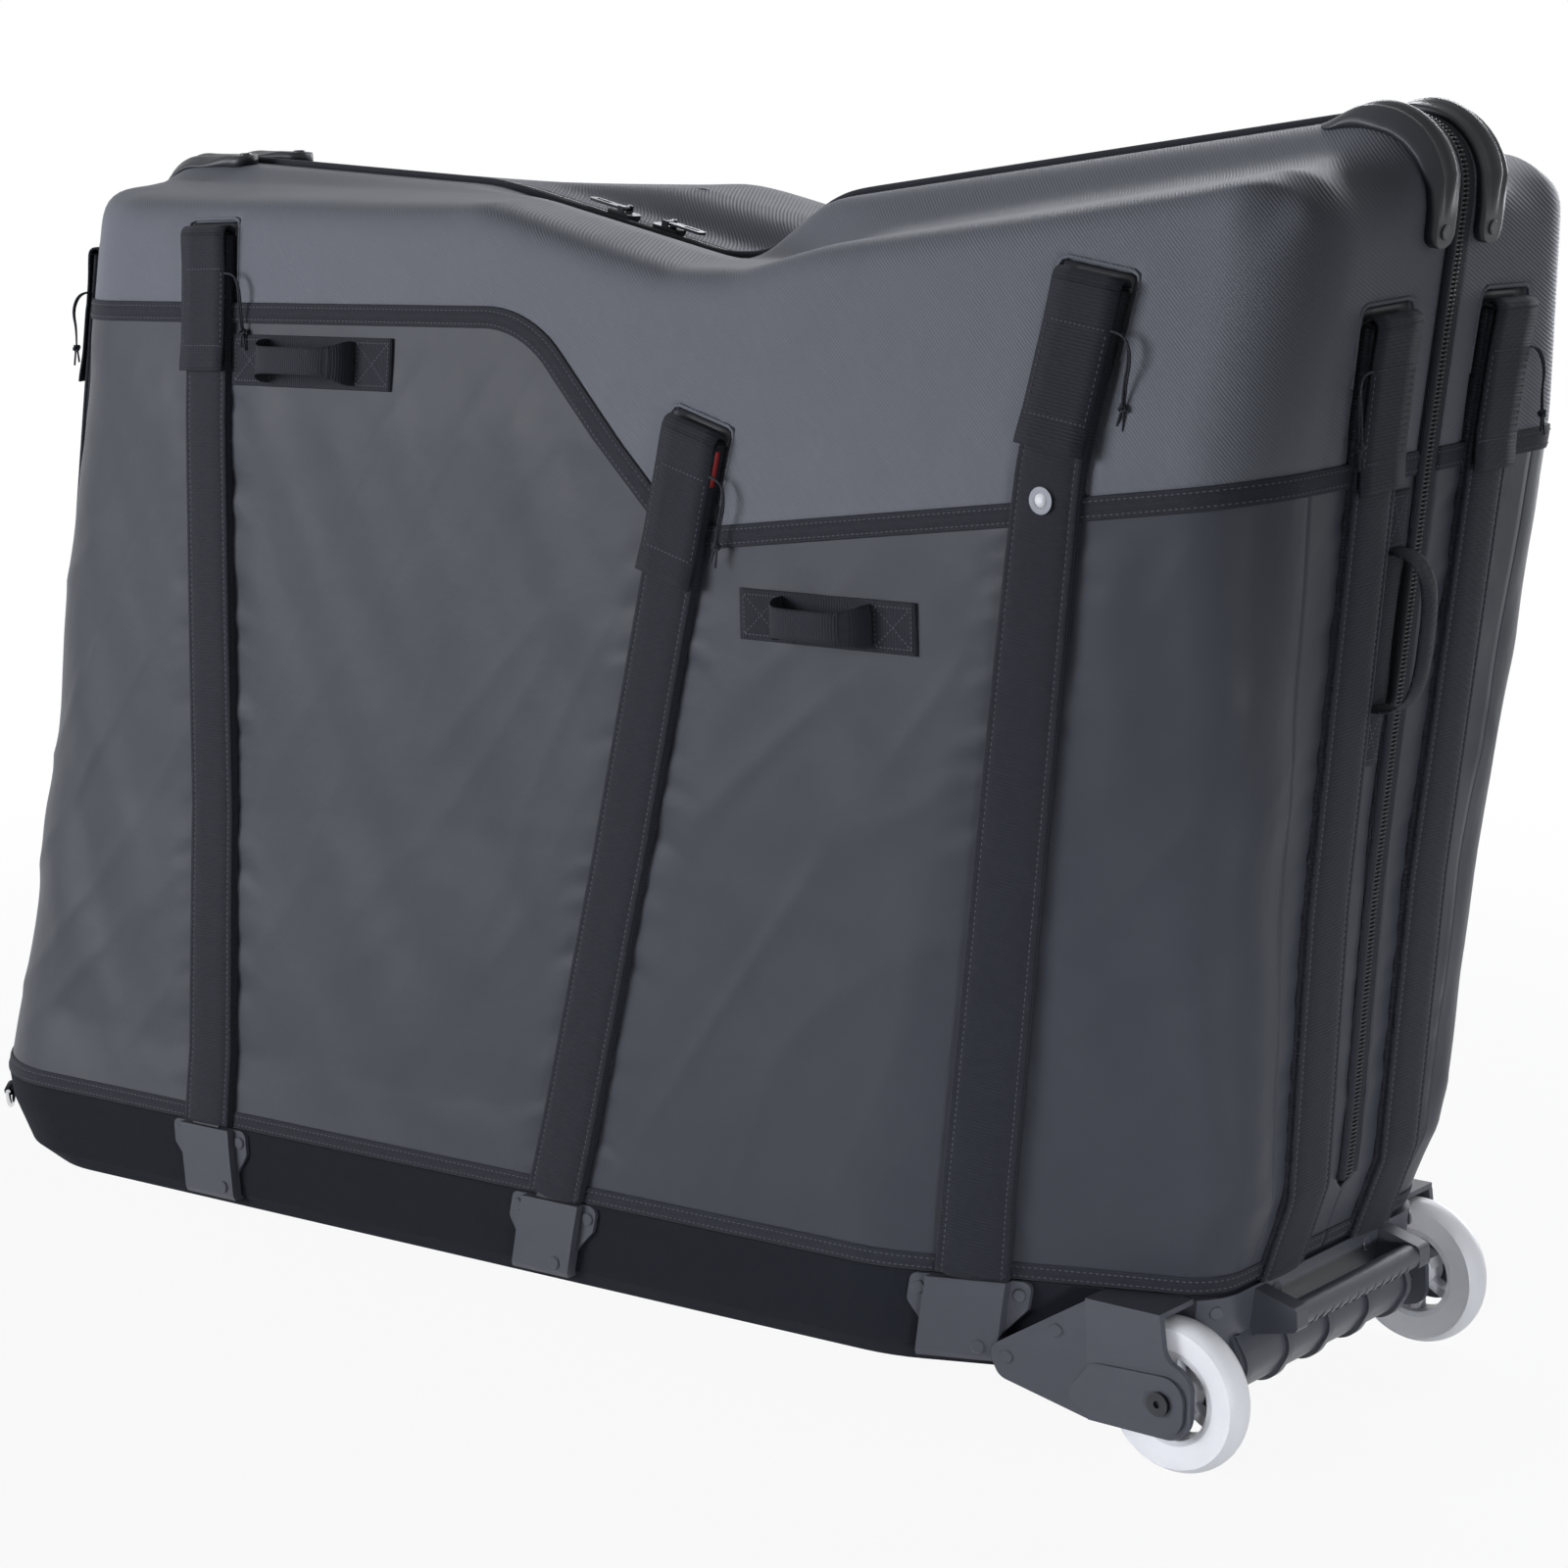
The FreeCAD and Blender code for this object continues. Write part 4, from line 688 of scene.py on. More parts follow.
def make_flaps(threads):
    """Folded top of each strap: a loop at the head and a flap sewn down over the sleeve."""
    geometry = Geometry()
    radius = SLEEVE_TOP / 2 + 0.8
    top = SLEEVE_TOP + FLAP_THICKNESS + 0.3
    for strap in STRAPS.values():
        stations = []
        for k in range(FLAP_TURNS):
            angle = math.pi * (1 - k / FLAP_TURNS)
            s = FLAP_LOOP - FLAP_LOOP * math.sin(angle)
            along, _, out = strap.frame(s)
            radial = (out * -math.cos(angle) - along * math.sin(angle)).normalized()
            stations.append(flap_station(strap, s, radius - radius * math.cos(angle), radial))
        for s in spread(FLAP_LOOP, FLAP_LENGTH, 23):
            gap = 1.6 * (1 - smooth_step(0.0, 34.0, s)) + 1.9 * smooth_step(84.0, FLAP_LENGTH, s)
            stations.append(flap_station(strap, s, SLEEVE_TOP + 0.2 + gap, strap.out(s)))
        geometry.sweep(stations)
        for s, lift in ((32.0, 0.2), (92.0, 0.4)):
            threads.stitch_row(*strap.cross_line(s, top + lift, 21.0), FLAP_STITCH)
        for side in (-1, 1):
            threads.stitch_row(*strap.line(side * 23.4, top + 0.1, 34.0, 96.0))
    make_both(geometry, "flaps", STRAP, "webbing", "flaps")


# Walls: columns go round the half from the middle of the far end to the middle of the wheel end

def corner_at(corners, v):
    return (np.interp(v, CORNER_LEVELS, [corner[0] for corner in corners]),
            np.interp(v, CORNER_LEVELS, [corner[1] for corner in corners]))


def core_height(u):
    return np.interp(u, [place[0] for place in CORE_LINE], [place[1] for place in CORE_LINE])


def edge_depth(v):
    """Distance of the panels' edge from the middle plane: they close up under the zip."""
    return -mix(MIDDLE_GAP, ZIP_BAND, smooth_step(ZIP_FOOT - 8.0, ZIP_FOOT, v))


SIDE_STEPS = int((WHEEL_CORNERS[1][0] - FAR_CORNERS[1][0]) / SIDE_STEP)
COLUMNS = ([("far_end", k / END_STEPS) for k in range(END_STEPS)]
           + [("far_corner", k / CORNER_STEPS) for k in range(CORNER_STEPS)]
           + [("side", k / SIDE_STEPS) for k in range(SIDE_STEPS + 1)]
           + [("wheel_corner", (k + 1) / CORNER_STEPS) for k in range(CORNER_STEPS)]
           + [("wheel_end", (k + 1) / END_STEPS) for k in range(END_STEPS)])


def column_core(column, v):
    """Core point and horizontal direction of a column at a height."""
    kind, share = column
    far = corner_at(FAR_CORNERS, v)
    wheel = corner_at(WHEEL_CORNERS, v)
    angle = share * math.pi / 2
    if kind == "far_end":
        return (far[0], mix(edge_depth(v), far[1], share)), (-1.0, 0.0)
    if kind == "far_corner":
        return far, (-math.cos(angle), -math.sin(angle))
    if kind == "side":
        return (mix(far[0], wheel[0], share), mix(far[1], wheel[1], share)), (0.0, -1.0)
    if kind == "wheel_corner":
        return wheel, (math.sin(angle), -math.cos(angle))
    return (wheel[0], mix(wheel[1], edge_depth(v), share)), (1.0, 0.0)


def column_out(column, v):
    """Horizontal direction of a column, as a vector."""
    level = column_core(column, v)[1]
    return Vector((level[0], level[1], 0.0))


def wall_point(column, v, rise=0.0):
    """Point of the skin in a column, seen along a ray that rises by an angle from the horizontal."""
    core, level = column_core(column, v)
    direction = Vector((level[0] * math.cos(rise), level[1] * math.cos(rise), math.sin(rise)))
    middle = Vector((core[0], core[1], v))
    return cast(middle + direction * FAR, -direction)


def rounded_line(corners):
    """Height of a line with rounded corners, as a function of U."""
    points = []
    for before, corner, after in zip(corners, corners[1:], corners[2:]):
        middle = Vector(corner[:2])
        inbound = (Vector(before[:2]) - middle).normalized()
        outbound = (Vector(after[:2]) - middle).normalized()
        half = inbound.angle(outbound) / 2
        reach = corner[2] / math.tan(half)
        centre = middle + (inbound + outbound).normalized() * (corner[2] / math.sin(half))
        first = middle + inbound * reach
        last = middle + outbound * reach
        for k in range(13):
            chord = first.lerp(last, k / 12)
            points.append(centre + (chord - centre).normalized() * corner[2])
    points = [Vector(corners[0][:2])] + points + [Vector(corners[-1][:2])]
    us = [point.x for point in points]
    vs = [point.y for point in points]
    return lambda u: float(np.interp(u, us, vs))


binding_height = rounded_line(BINDING_LINE)


def column_binding(column):
    """Height of the binding in a column."""
    v = BINDING_GUESS
    for _ in range(3):
        v = binding_height(wall_point(column, v).x)
    return v


def column_top(column):
    """Height where a column's wall ends and its rounded rim starts."""
    v = TOP_GUESS
    for _ in range(2):
        v = float(core_height(column_core(column, v)[0][0]))
    return v


BINDINGS = [column_binding(column) for column in COLUMNS]
TOPS = [column_top(column) for column in COLUMNS]


def strap_clearance(point, kind):
    """Distance of a wall point from the nearest strap's edge, in the strap's own view."""
    least = LONG
    for strap in STRAPS.values():
        if kind in strap.view.kinds:
            across = (strap.view.flat(point) - strap.start).dot(strap.side)
            least = min(least, abs(across) - WEBBING / 2)
    return least


def wrinkle(point, kind, binding):
    """How far the fabric stands out of the skin: soft folds that die out at straps, seam and binding."""
    edge = strap_clearance(point, kind)
    above_seam = point.z - SEAM
    hold = smooth_step(0.0, STRAP_HOLD, edge)
    hold *= smooth_step(*SEAM_HOLD, above_seam) * smooth_step(*BINDING_HOLD, binding - point.z)
    slack = SLACK + FAR_SLACK * smooth_step(-930.0, -1090.0, point.x)
    slack += WHEEL_SLACK * smooth_step(-90.0, 40.0, point.x)
    around = point.x + point.y * 0.8
    fold = noise.noise(Vector((around / 64.0 + point.z / 150.0, point.z / 260.0, 3.0)))
    crease = 1.0 - abs(noise.noise(Vector((around / 80.0 - point.z / 95.0, point.z / 240.0, 11.0)))) * 3.0
    ripple = noise.noise(Vector((around / 30.0 + point.z / 60.0, point.z / 60.0, 21.0)))
    pucker = (1.0 - smooth_step(2.0, STRAP_HOLD, edge)) * smooth_step(8.0, 40.0, above_seam)
    tuck = noise.noise(Vector((around / 90.0, point.z / 14.0 + edge / 40.0, 31.0))) * pucker * TUCK
    return hold * slack * (fold + 0.35 * max(crease, 0.0) ** 2 + 0.12 * ripple) + tuck


def recess(point, kind):
    """Depth of the pressed pocket behind each flap."""
    deepest = 0.0
    for strap in STRAPS.values():
        if kind in strap.view.kinds:
            spot = strap.view.flat(point) - strap.start
            along = spot.dot(strap.run)
            across = abs(spot.dot(strap.side))
            inside = 1 - smooth_step(FLAP_WIDTH / 2 + 1.0, FLAP_WIDTH / 2 + RECESS_MARGIN, across)
            inside *= smooth_step(-RECESS_MARGIN - 5.0, -RECESS_MARGIN, along)
            deepest = max(deepest, inside * RECESS_DEPTH * (1 - 0.6 * smooth_step(20.0, 140.0, along)))
    return deepest


def column_places(rows):
    """Texture places of a grid of rows: distance along the first row and up the columns."""
    along = running_length(rows[0])
    up = [running_length(column) for column in zip(*rows)]
    return [[(along[c], up[c][r]) for c in range(len(along))] for r in range(len(rows))]


PANELS = {"far_end_panel": FAR_END, "side_panel": SIDE, "wheel_end_panel": WHEEL_END}


def make_panels():
    """Fabric panels with their flat sizes, measured over the folds.

    The end panels reach to the side panel's first and last columns.
    """
    rows = []
    for r in range(FABRIC_ROWS + 1):
        row = []
        for column, binding in zip(COLUMNS, BINDINGS):
            v = mix(SEAM + 0.4, binding + 2.0, r / FABRIC_ROWS)
            point = wall_point(column, v)
            row.append(point + column_out(column, v) * wrinkle(point, column[0], binding))
        rows.append(row)
    places = column_places(rows)
    for name, view in PANELS.items():
        picked = [c for c, column in enumerate(COLUMNS) if column[0] in view.kinds]
        first = picked[0] - (1 if name == "wheel_end_panel" else 0)
        last = picked[-1] + (2 if name == "far_end_panel" else 1)
        geometry = Geometry()
        part = [row[first:last] for row in rows]
        geometry.grid(part, [row[first:last] for row in places])
        for piece in make_both(geometry, name, PANEL, "panel", name, sewn=True):
            thicken(piece, FABRIC_WALL)


def thicken(piece, wall):
    modifier = piece.modifiers.new("wall", "SOLIDIFY")
    modifier.thickness = wall * MM
    modifier.offset = -1.0


class Rim:
    """Rim of a column: its wall and the top beside it run on straight.

    They meet in a tight round on the side, and keep the skin's wide round at the ends.
    """

    def __init__(self, column, top):
        kind, share = column
        self.column = column
        self.top = top
        self.tight = {"side": 1.0, "far_corner": smooth_step(0.5, 1.0, share),
                      "wheel_corner": 1.0 - smooth_step(0.0, 0.5, share)}.get(kind, 0.0)
        core = column_core(column, top)[0]
        self.out = column_out(column, top)
        self.middle = Vector((core[0], core[1], top))
        low, lowest = [(wall_point(column, top - drop) - self.middle).dot(self.out) for drop in WALL_SAMPLES]
        self.wall_slope = (low - lowest) / (WALL_SAMPLES[1] - WALL_SAMPLES[0])
        self.reach = low + self.wall_slope * WALL_SAMPLES[0]
        self.height = (cast((core[0], core[1], LONG), (0, 0, -1)) - self.middle).z
        beside = self.middle + self.out * TOP_SAMPLE
        beside_height = (cast((beside.x, beside.y, LONG), (0, 0, -1)) - self.middle).z
        self.top_slope = (beside_height - self.height) / TOP_SAMPLE

    def wall(self, v):
        plain = wall_point(self.column, v)
        if v < self.top - WALL_SAMPLES[0]:
            return plain
        straight = self.middle + self.out * (self.reach + self.wall_slope * (v - self.top))
        return plain.lerp(straight + Vector((0, 0, v - self.top)), self.tight)

    def round(self, rise):
        plain = wall_point(self.column, self.top, rise)
        to_wall = self.reach / max(math.cos(rise) - self.wall_slope * math.sin(rise), 0.05)
        to_top = self.height / max(math.sin(rise) - self.top_slope * math.cos(rise), 0.05)
        near = min(to_wall, to_top)
        blend = math.exp((near - to_wall) / RIM_TIGHTNESS) + math.exp((near - to_top) / RIM_TIGHTNESS)
        distance = near - RIM_TIGHTNESS * math.log(blend)
        sharp = self.middle + (self.out * math.cos(rise) + Vector((0, 0, 1)) * math.sin(rise)) * distance
        return plain.lerp(sharp, self.tight)


def even_out(rims, trait):
    """Running mean of one trait along the columns, so that the facets of the skin don't show in the rim."""
    values = np.array([getattr(rim, trait) for rim in rims])
    padded = np.pad(values, EVENING, mode="edge")
    means = np.convolve(padded, np.full(2 * EVENING + 1, 1.0 / (2 * EVENING + 1)), mode="valid")
    for rim, mean in zip(rims, means):
        setattr(rim, trait, float(mean))


def shell_geometry():
    """Outer face of the shell, with the way each point is pressed in behind the flaps."""
    rows = []
    pressed = []
    rims = [Rim(column, top) for column, top in zip(COLUMNS, TOPS)]
    for trait in ("wall_slope", "reach", "top_slope", "height"):
        even_out(rims, trait)
    for r in range(SHELL_ROWS + RIM_STEPS + 1):
        rise = math.pi / 2 * max(r - SHELL_ROWS, 0) / RIM_STEPS
        row = []
        for rim, binding in zip(rims, BINDINGS):
            v = mix(binding - 4.0, rim.top, min(r / SHELL_ROWS, 1.0))
            point = rim.round(rise) if r > SHELL_ROWS else rim.wall(v)
            row.append(point)
            pressed.append(rim.out * recess(point, rim.column[0]))
        reaches = [(point - rim.middle).dot(rim.out) for point, rim in zip(row, rims)]
        for c in range(2, len(row) - 2):
            slip = float(np.median(reaches[c - 2:c + 3])) - reaches[c]
            if abs(slip) > SPIKE:
                row[c] = row[c] + rims[c].out * slip
        rows.append(row)
    geometry = Geometry()
    places = column_places(rows)
    geometry.grid(rows, places)
    side = [c for c, column in enumerate(COLUMNS) if column[0] == "side"]
    top_rows = []
    for k in range(END_STEPS + 1):
        row = []
        for c in side:
            core = column_core(COLUMNS[c], TOPS[c])[0]
            y = mix(core[1], -ZIP_BAND, k / END_STEPS)
            row.append(cast((core[0], y, LONG), (0, 0, -1)))
        top_rows.append(row)
    lift = places[-1][side[0]][1]
    top_places = [[(x, y + lift) for x, y in row] for row in column_places(top_rows)]
    geometry.grid(top_rows, top_places)
    geometry.soften(SHELL_SOFTENING)
    return geometry, pressed


SHELL_FACE, SHELL_DENTS = shell_geometry()

# What the trim lies on: the shell as it is shown, and the panels
DRESSED = surface_tree(PANEL_NODES, SHELL_FACE.points, SHELL_FACE.faces)


def make_shells():
    for k, dent in enumerate(SHELL_DENTS):
        SHELL_FACE.points[k] = tuple(Vector(SHELL_FACE.points[k]) - dent)
    for piece in make_both(SHELL_FACE, "shell", SHELL, "shell", "shell"):
        weld = piece.modifiers.new("weld", "WELD")
        weld.merge_threshold = WELD
        thicken(piece, SHELL_WALL)


# Tapes along the binding and the seam

def make_tape(name, heights, half, thickness, threads, stitch_at, sewn=False):
    """Sewn tape round the half, its middle at a height for each column."""
    geometry = Geometry()
    profile = half_profile([(half, 0.0), (half, thickness * 0.8), (half - 0.8, thickness),
                            (0.0, thickness + 0.15)])
    middles = [wall_point(column, height) for column, height in zip(COLUMNS, heights)]
    stations = []
    rows = {t: [] for t in stitch_at}
    normals = []
    for c, column in enumerate(COLUMNS):
        slope = 0.0
        if 0 < c < len(COLUMNS) - 1:
            rise = heights[c + 1] - heights[c - 1]
            run = (middles[c + 1] - middles[c - 1]).length
            slope = rise / max(run, 1e-6)
        stretch = 1.0 / math.sqrt(1.0 - min(slope * slope, 0.75))
        out = column_out(column, heights[c])
        normals.append(out)
        stations.append([wall_point(column, heights[c] + t * stretch) + out * h for t, h in profile])
        for t in stitch_at:
            rows[t].append(wall_point(column, heights[c] + t * stretch) + out * (thickness + 0.1))
    geometry.sweep(stations)
    for row in rows.values():
        threads.stitch_row(row, normals)
    make_both(geometry, name, TAPE, "tape", name, sewn=sewn)


def make_tapes(threads):
    make_tape("binding", BINDINGS, BINDING_WIDTH / 2, 1.6, threads, (-5.0, 4.6))
    seams = [SEAM + SEAM_TAPE_HEIGHT / 2 + 0.5] * len(COLUMNS)
    seam_threads = Geometry()
    make_tape("seam_tape", seams, SEAM_TAPE_HEIGHT / 2, 1.3, seam_threads, (-3.6, 3.2), sewn=True)
    make_both(seam_threads, "seam_stitching", THREAD, "tape", sewn=True)


# Zip: the line of the teeth in the middle plane, from the foot at the wheel end over the top to the far end

def zip_line():
    """Points of the zip line in U and V, evenly spaced, with the way along and the way out."""
    wheel_u, wheel_v = ZIP_WHEEL_CORE
    far_u, far_v = ZIP_FAR_CORE
    rays = [((wheel_u, v), 0.0) for v in np.arange(ZIP_FOOT + 1.0, wheel_v, 12.0)]
    rays += [(ZIP_WHEEL_CORE, math.radians(a)) for a in range(0, 90, 6)]
    rays += [((u, ZIP_TOP_CORE), math.pi / 2) for u in np.arange(wheel_u, far_u, -10.0)]
    rays += [(ZIP_FAR_CORE, math.radians(a)) for a in range(90, 180, 6)]
    rays += [((far_u, v), math.pi) for v in np.arange(far_v, ZIP_FOOT, -12.0)]
    hits = []
    for (u, v), angle in rays:
        direction = Vector((math.cos(angle), 0.0, math.sin(angle)))
        hit = cast(Vector((u, ZIP_DEPTH, v)) + direction * FAR, -direction, ZIP_SKIN)
        hits.append(Vector((hit.x, hit.z)))
    for _ in range(3):
        hits = [hits[0]] + [(a + b * 2 + c) / 4 for a, b, c in zip(hits, hits[1:], hits[2:])] + [hits[-1]]
    lengths = running_length(hits)
    count = int(lengths[-1] / ZIP_STEP)
    at = np.linspace(0.0, lengths[-1], count + 1)
    us = np.interp(at, lengths, [hit.x for hit in hits])
    vs = np.interp(at, lengths, [hit.y for hit in hits])
    points = [Vector((u, v)) for u, v in zip(us, vs)]
    frames = []
    for k, point in enumerate(points):
        before = points[max(k - 2, 0)]
        after = points[min(k + 2, count)]
        along = (after - before).normalized()
        frames.append((point, along, Vector((along.y, -along.x))))
    return frames


ZIP_LINE = zip_line()


def on_zip(frame_at, y, h, s=0.0):
    """Point across, above and along the zip from one of its places."""
    point, along, out = frame_at
    place = point + along * s + out * h
    return Vector((place.x, y, place.y))


def make_zips():
    """Tape, teeth and, on the front half, the rolled welt beside the teeth."""
    tape = Geometry()
    tape.sweep([[on_zip(at, y, h) for y, h in ZIP_TAPE_PROFILE] for at in ZIP_LINE[::2]])
    make_both(tape, "zip_tape", ZIP_TAPE, "zip", "zip")
    teeth = Geometry()
    for at in ZIP_LINE:
        rings = []
        for y, radius in TOOTH_SECTIONS:
            rings.append([on_zip(at, y, TOOTH_LIFT + math.cos(angle) * radius,
                                 math.sin(angle) * radius * TOOTH_SHARE) for angle in circle(5)])
        teeth.sweep(rings)
    make_both(teeth, "zip_teeth", COIL, "zip")
    welt = Geometry()
    outline = [(-9.2 + 4.0 * math.cos(angle), 1.2 + 3.6 * math.sin(angle)) for angle in circle(12)]
    welt.sweep([[on_zip(at, y, h) for y, h in outline] for at in ZIP_LINE[::2]])
    welt.make("front_zip_welt", TAPE, "front_half", "tape")


# Corner guards

GUARD_PROFILE = [(-13.6, 0.0), (-13.6, 3.6), (-14.6, 4.6), (-20.0, 5.6), (-22.5, 7.2), (-25.5, 9.6),
                 (-29.0, 10.2), (-32.0, 8.8), (-34.0, 6.6), (-36.0, 6.4), (-38.5, 8.0), (-40.5, 8.2),
                 (-42.5, 6.4), (-45.5, 4.4), (-47.0, 2.6), (-47.4, 0.0)]
GUARD_PAD = 7.9
GUARD_SINK = 1.0
GUARD_FADE = 34.0
GUARD_ROUND = 12.0
BEAD_REACH = (16.0, 52.0)
GUARD_SHARES = {"wheel": 1.0, "far": 0.65}


def make_guards():
    """Rubber guards over the upper corners: two beads that run out into a flat pad with a rivet.

    Along the zip line, the pad is each guard's first end. The last end dies out on the shell.
    """
    geometry = Geometry()
    middle = sum(y for y, h in GUARD_PROFILE) / len(GUARD_PROFILE)
    corners = node_points("front_guards")
    halfway = corners[:, 0].mean()
    for corner, share in GUARD_SHARES.items():
        near = corners[(corners[:, 0] > halfway) == (corner == "wheel")]
        low = near[:, 2].min()
        first_u, last_u = (near[:, 0].min(), FAR) if corner == "wheel" else (-LONG, near[:, 0].max())
        picked = [at for at in ZIP_LINE if at[0].y > low and first_u < at[0].x < last_u]
        stations = []
        last = len(picked) - 1
        for k, (point, _, out) in enumerate(picked):
            from_end = min(k, last - k) * ZIP_STEP
            bead = smooth_step(*BEAD_REACH, from_end)
            fade = smooth_step(0.0, GUARD_FADE, from_end) if k > last / 2 else 1.0
            round_end = math.sqrt(1.0 - (1.0 - min(from_end / GUARD_ROUND, 1.0)) ** 2)
            width = mix(0.74, 1.0, bead) * mix(0.25, 1.0, round_end)
            station = []
            for y, h in GUARD_PROFILE:
                place_y = middle + (y - middle) * width
                start = Vector((point.x + out.x * 90.0, place_y, point.y + out.y * 90.0))
                base = cast(start, (-out.x, 0.0, -out.y))
                lift = mix(min(GUARD_PAD, h * 2.2), h * share, bead) * fade
                if h == 0.0:
                    lift -= GUARD_SINK
                station.append(base + Vector((out.x, 0.0, out.y)) * lift)
            stations.append(station)
        geometry.sweep(stations)
    make_both(geometry, "guards", RUBBER, "guard", "guards")


# Handles

LOOP_PROFILE = [(1.0, -0.9), (1.0, 0.9), (0.8, 1.7), (0.0, 2.2), (-0.8, 1.7), (-1.0, 0.9), (-1.0, -0.9),
                (-0.8, -1.5), (0.0, -1.7), (0.8, -1.5)]


def make_loop(geometry, line, foot, rise, wide, narrow):
    """Folded webbing loop that stands on a patch, a foot's length from both ends of a line."""
    stations = []
    first = line.spot(foot, 0.0)
    last = line.spot(line.length - foot, 0.0)
    _, across, out = line.frame(line.length / 2)
    along = (last - first).normalized()
    for k in range(LOOP_STEPS + 1):
        angle = math.pi * (1 - k / LOOP_STEPS)
        level = math.cos(angle)
        height = max(math.sin(angle), 0.0)
        reach = math.copysign(abs(level) ** 0.62, level)
        middle = first.lerp(last, (reach + 1) / 2) + out * (LOOP_BASE + rise * height ** 0.7)
        direction = (along * max(height, 0.02) + out * level * 0.9).normalized()
        normal = across.cross(direction)
        if normal.dot(out * height + along * level) < 0:
            normal.negate()
        half = mix(narrow, wide, abs(level) ** 5) / 2
        stations.append([middle + across * (t * half) + normal * h for t, h in LOOP_PROFILE])
    geometry.sweep(stations)


def make_patch(geometry, threads, line, half, box):
    """Flat patch with a crossed box of stitches at each end."""
    profile = half_profile([(half, -0.4), (half, 1.5), (half - 0.7, 2.0), (0.0, PATCH_TOP)])
    places = spread(0.0, line.length, int(line.length / STRAP_STEP))
    geometry.sweep([line.station(s, profile) for s in places])
    inner = half - BOX_INSET
    for first, last in ((0.0, box), (line.length - box, line.length)):
        begin = first + BOX_INSET
        end = last - BOX_INSET
        for t in (-inner, inner):
            threads.stitch_row(*line.line(t, PATCH_TOP, begin, end), BOX_STITCH)
        for s in (begin, end):
            threads.stitch_row(*line.cross_line(s, PATCH_TOP, inner), BOX_STITCH)
        steps = spread(begin, end, 8)
        normals = [line.out(s) for s in steps]
        for turn in (-1, 1):
            diagonal = zip(steps, spread(-inner * turn, inner * turn, 8))
            points = [line.spot(s, t) + line.out(s) * (PATCH_TOP + 0.05) for s, t in diagonal]
            threads.stitch_row(points, normals, BOX_STITCH)


def make_handles(threads, end_threads):
    geometry = Geometry()
    for u, v, length, height in SIDE_HANDLES:
        line = Strap(SIDE, (u - length / 2, v), (u + length / 2, v))
        make_patch(geometry, threads, line, height / 2 - 2.0, height)
        make_loop(geometry, line, height, 25.0, height - 10.0, 21.0)
    make_both(geometry, "carry_handles", STRAP, "webbing", "carry_handles")
    y, low, high = END_HANDLE
    end = Geometry()
    line = Strap(WHEEL_END, (y, high), (y, low))
    make_patch(end, end_threads, line, END_WEBBING / 2, END_HANDLE_FOOT)
    make_loop(end, line, END_HANDLE_FOOT, 31.0, END_WEBBING - 1.0, 18.0)
    end.make("front_end_handle_piece", STRAP, "front_half", "webbing", ["front_end_handle"])


# Pull cords: two strands, a knot and two tails

def route_points(points):
    """Points read from the smooth line that has the route's points as its control points."""
    curve = bpy.data.curves.new("route", "CURVE")
    curve.dimensions = "3D"
    curve.resolution_u = 8
    spline = curve.splines.new("NURBS")
    spline.points.add(len(points) - 1)
    for target, point in zip(spline.points, points):
        target.co = (*point, 1.0)
    spline.order_u = 3
    spline.use_endpoint_u = True
    holder = bpy.data.objects.new("route", curve)
    mesh = bpy.data.meshes.new_from_object(holder)
    line = [vertex.co.copy() for vertex in mesh.vertices]
    bpy.data.objects.remove(holder)
    bpy.data.curves.remove(curve)
    bpy.data.meshes.remove(mesh)
    return line


def tube(geometry, line, radius, sides=7):
    stations = []
    for k, point in enumerate(line):
        along = (line[min(k + 1, len(line) - 1)] - line[max(k - 1, 0)]).normalized()
        side = along.orthogonal().normalized()
        if k:
            side = (previous - along * previous.dot(along)).normalized()
        previous = side
        up = along.cross(side)
        stations.append([point + side * (radius * math.cos(angle)) + up * (radius * math.sin(angle))
                         for angle in circle(sides)])
    geometry.sweep(stations)


def make_strands(line, way, out):
    """Two strands that wind round each other along a line."""
    strands = Geometry()
    radius = CORD_RADIUS / 2
    for side in (-1, 1):
        strand = []
        for k, point in enumerate(line):
            angle = k / len(line) * STRAND_TURN + STRAND_START
            strand.append(point + (out * math.cos(angle) + way * math.sin(angle)) * (side * radius))
        tube(strands, strand, radius)
    return strands


def make_knot(centre, way, down, out):
    """Overhand knot with two tails."""
    knot = Geometry()
    turns = []
    for angle in spread(0.0, 2 * math.pi, KNOT_STEPS):
        r = 2.0 + 0.9 * math.cos(3 * angle)
        turns.append(centre + way * (r * math.cos(2 * angle)) + out * (r * math.sin(2 * angle) * 0.8)
                     + down * (1.8 * math.sin(3 * angle) + 1.0))
    tube(knot, turns, 0.95)
    for side, reach in KNOT_TAILS:
        tail = [centre + down * (2.0 + reach * k / 5) + way * (side * (0.8 + 0.35 * k)) + out * (0.1 * k)
                for k in range(6)]
        tube(knot, tail, 0.85)
    return knot


def make_cords():
    """Pull cord of each strap. The first one of a half stands for the node of all that half's cords."""
    stood_for = {"front": ["front_pull_cords"], "back": ["back_pull_cords"]}
    for name, strap in STRAPS.items():
        out = strap.view.out
        across = strap.view.cord_way
        edge = strap.start + strap.run * CORD_START + strap.view.flat(across) * (FLAP_WIDTH / 2)
        start = strap.view.skin(edge) + out * CORD_LIFT
        down = strap.view.deep(strap.run)
        way = (across - down * across.dot(down)).normalized()
        line = route_points([start + way * n + down * d + out * o for n, d, o in CORD_ROUTE])
        strands = make_strands(line, way, out)
        knot = make_knot(line[-1], way, down, out)
        for side, mirror in SIDES:
            body = side + "_half"
            piece = strands.make("%s_%s_cord" % (side, name), CORD, body, "cord", stood_for[side], mirror)
            tie = knot.make("%s_%s_knot" % (side, name), CORD, body, "cord", (), mirror)
            stood_for[side] = []


# Soft pieces inside the tub

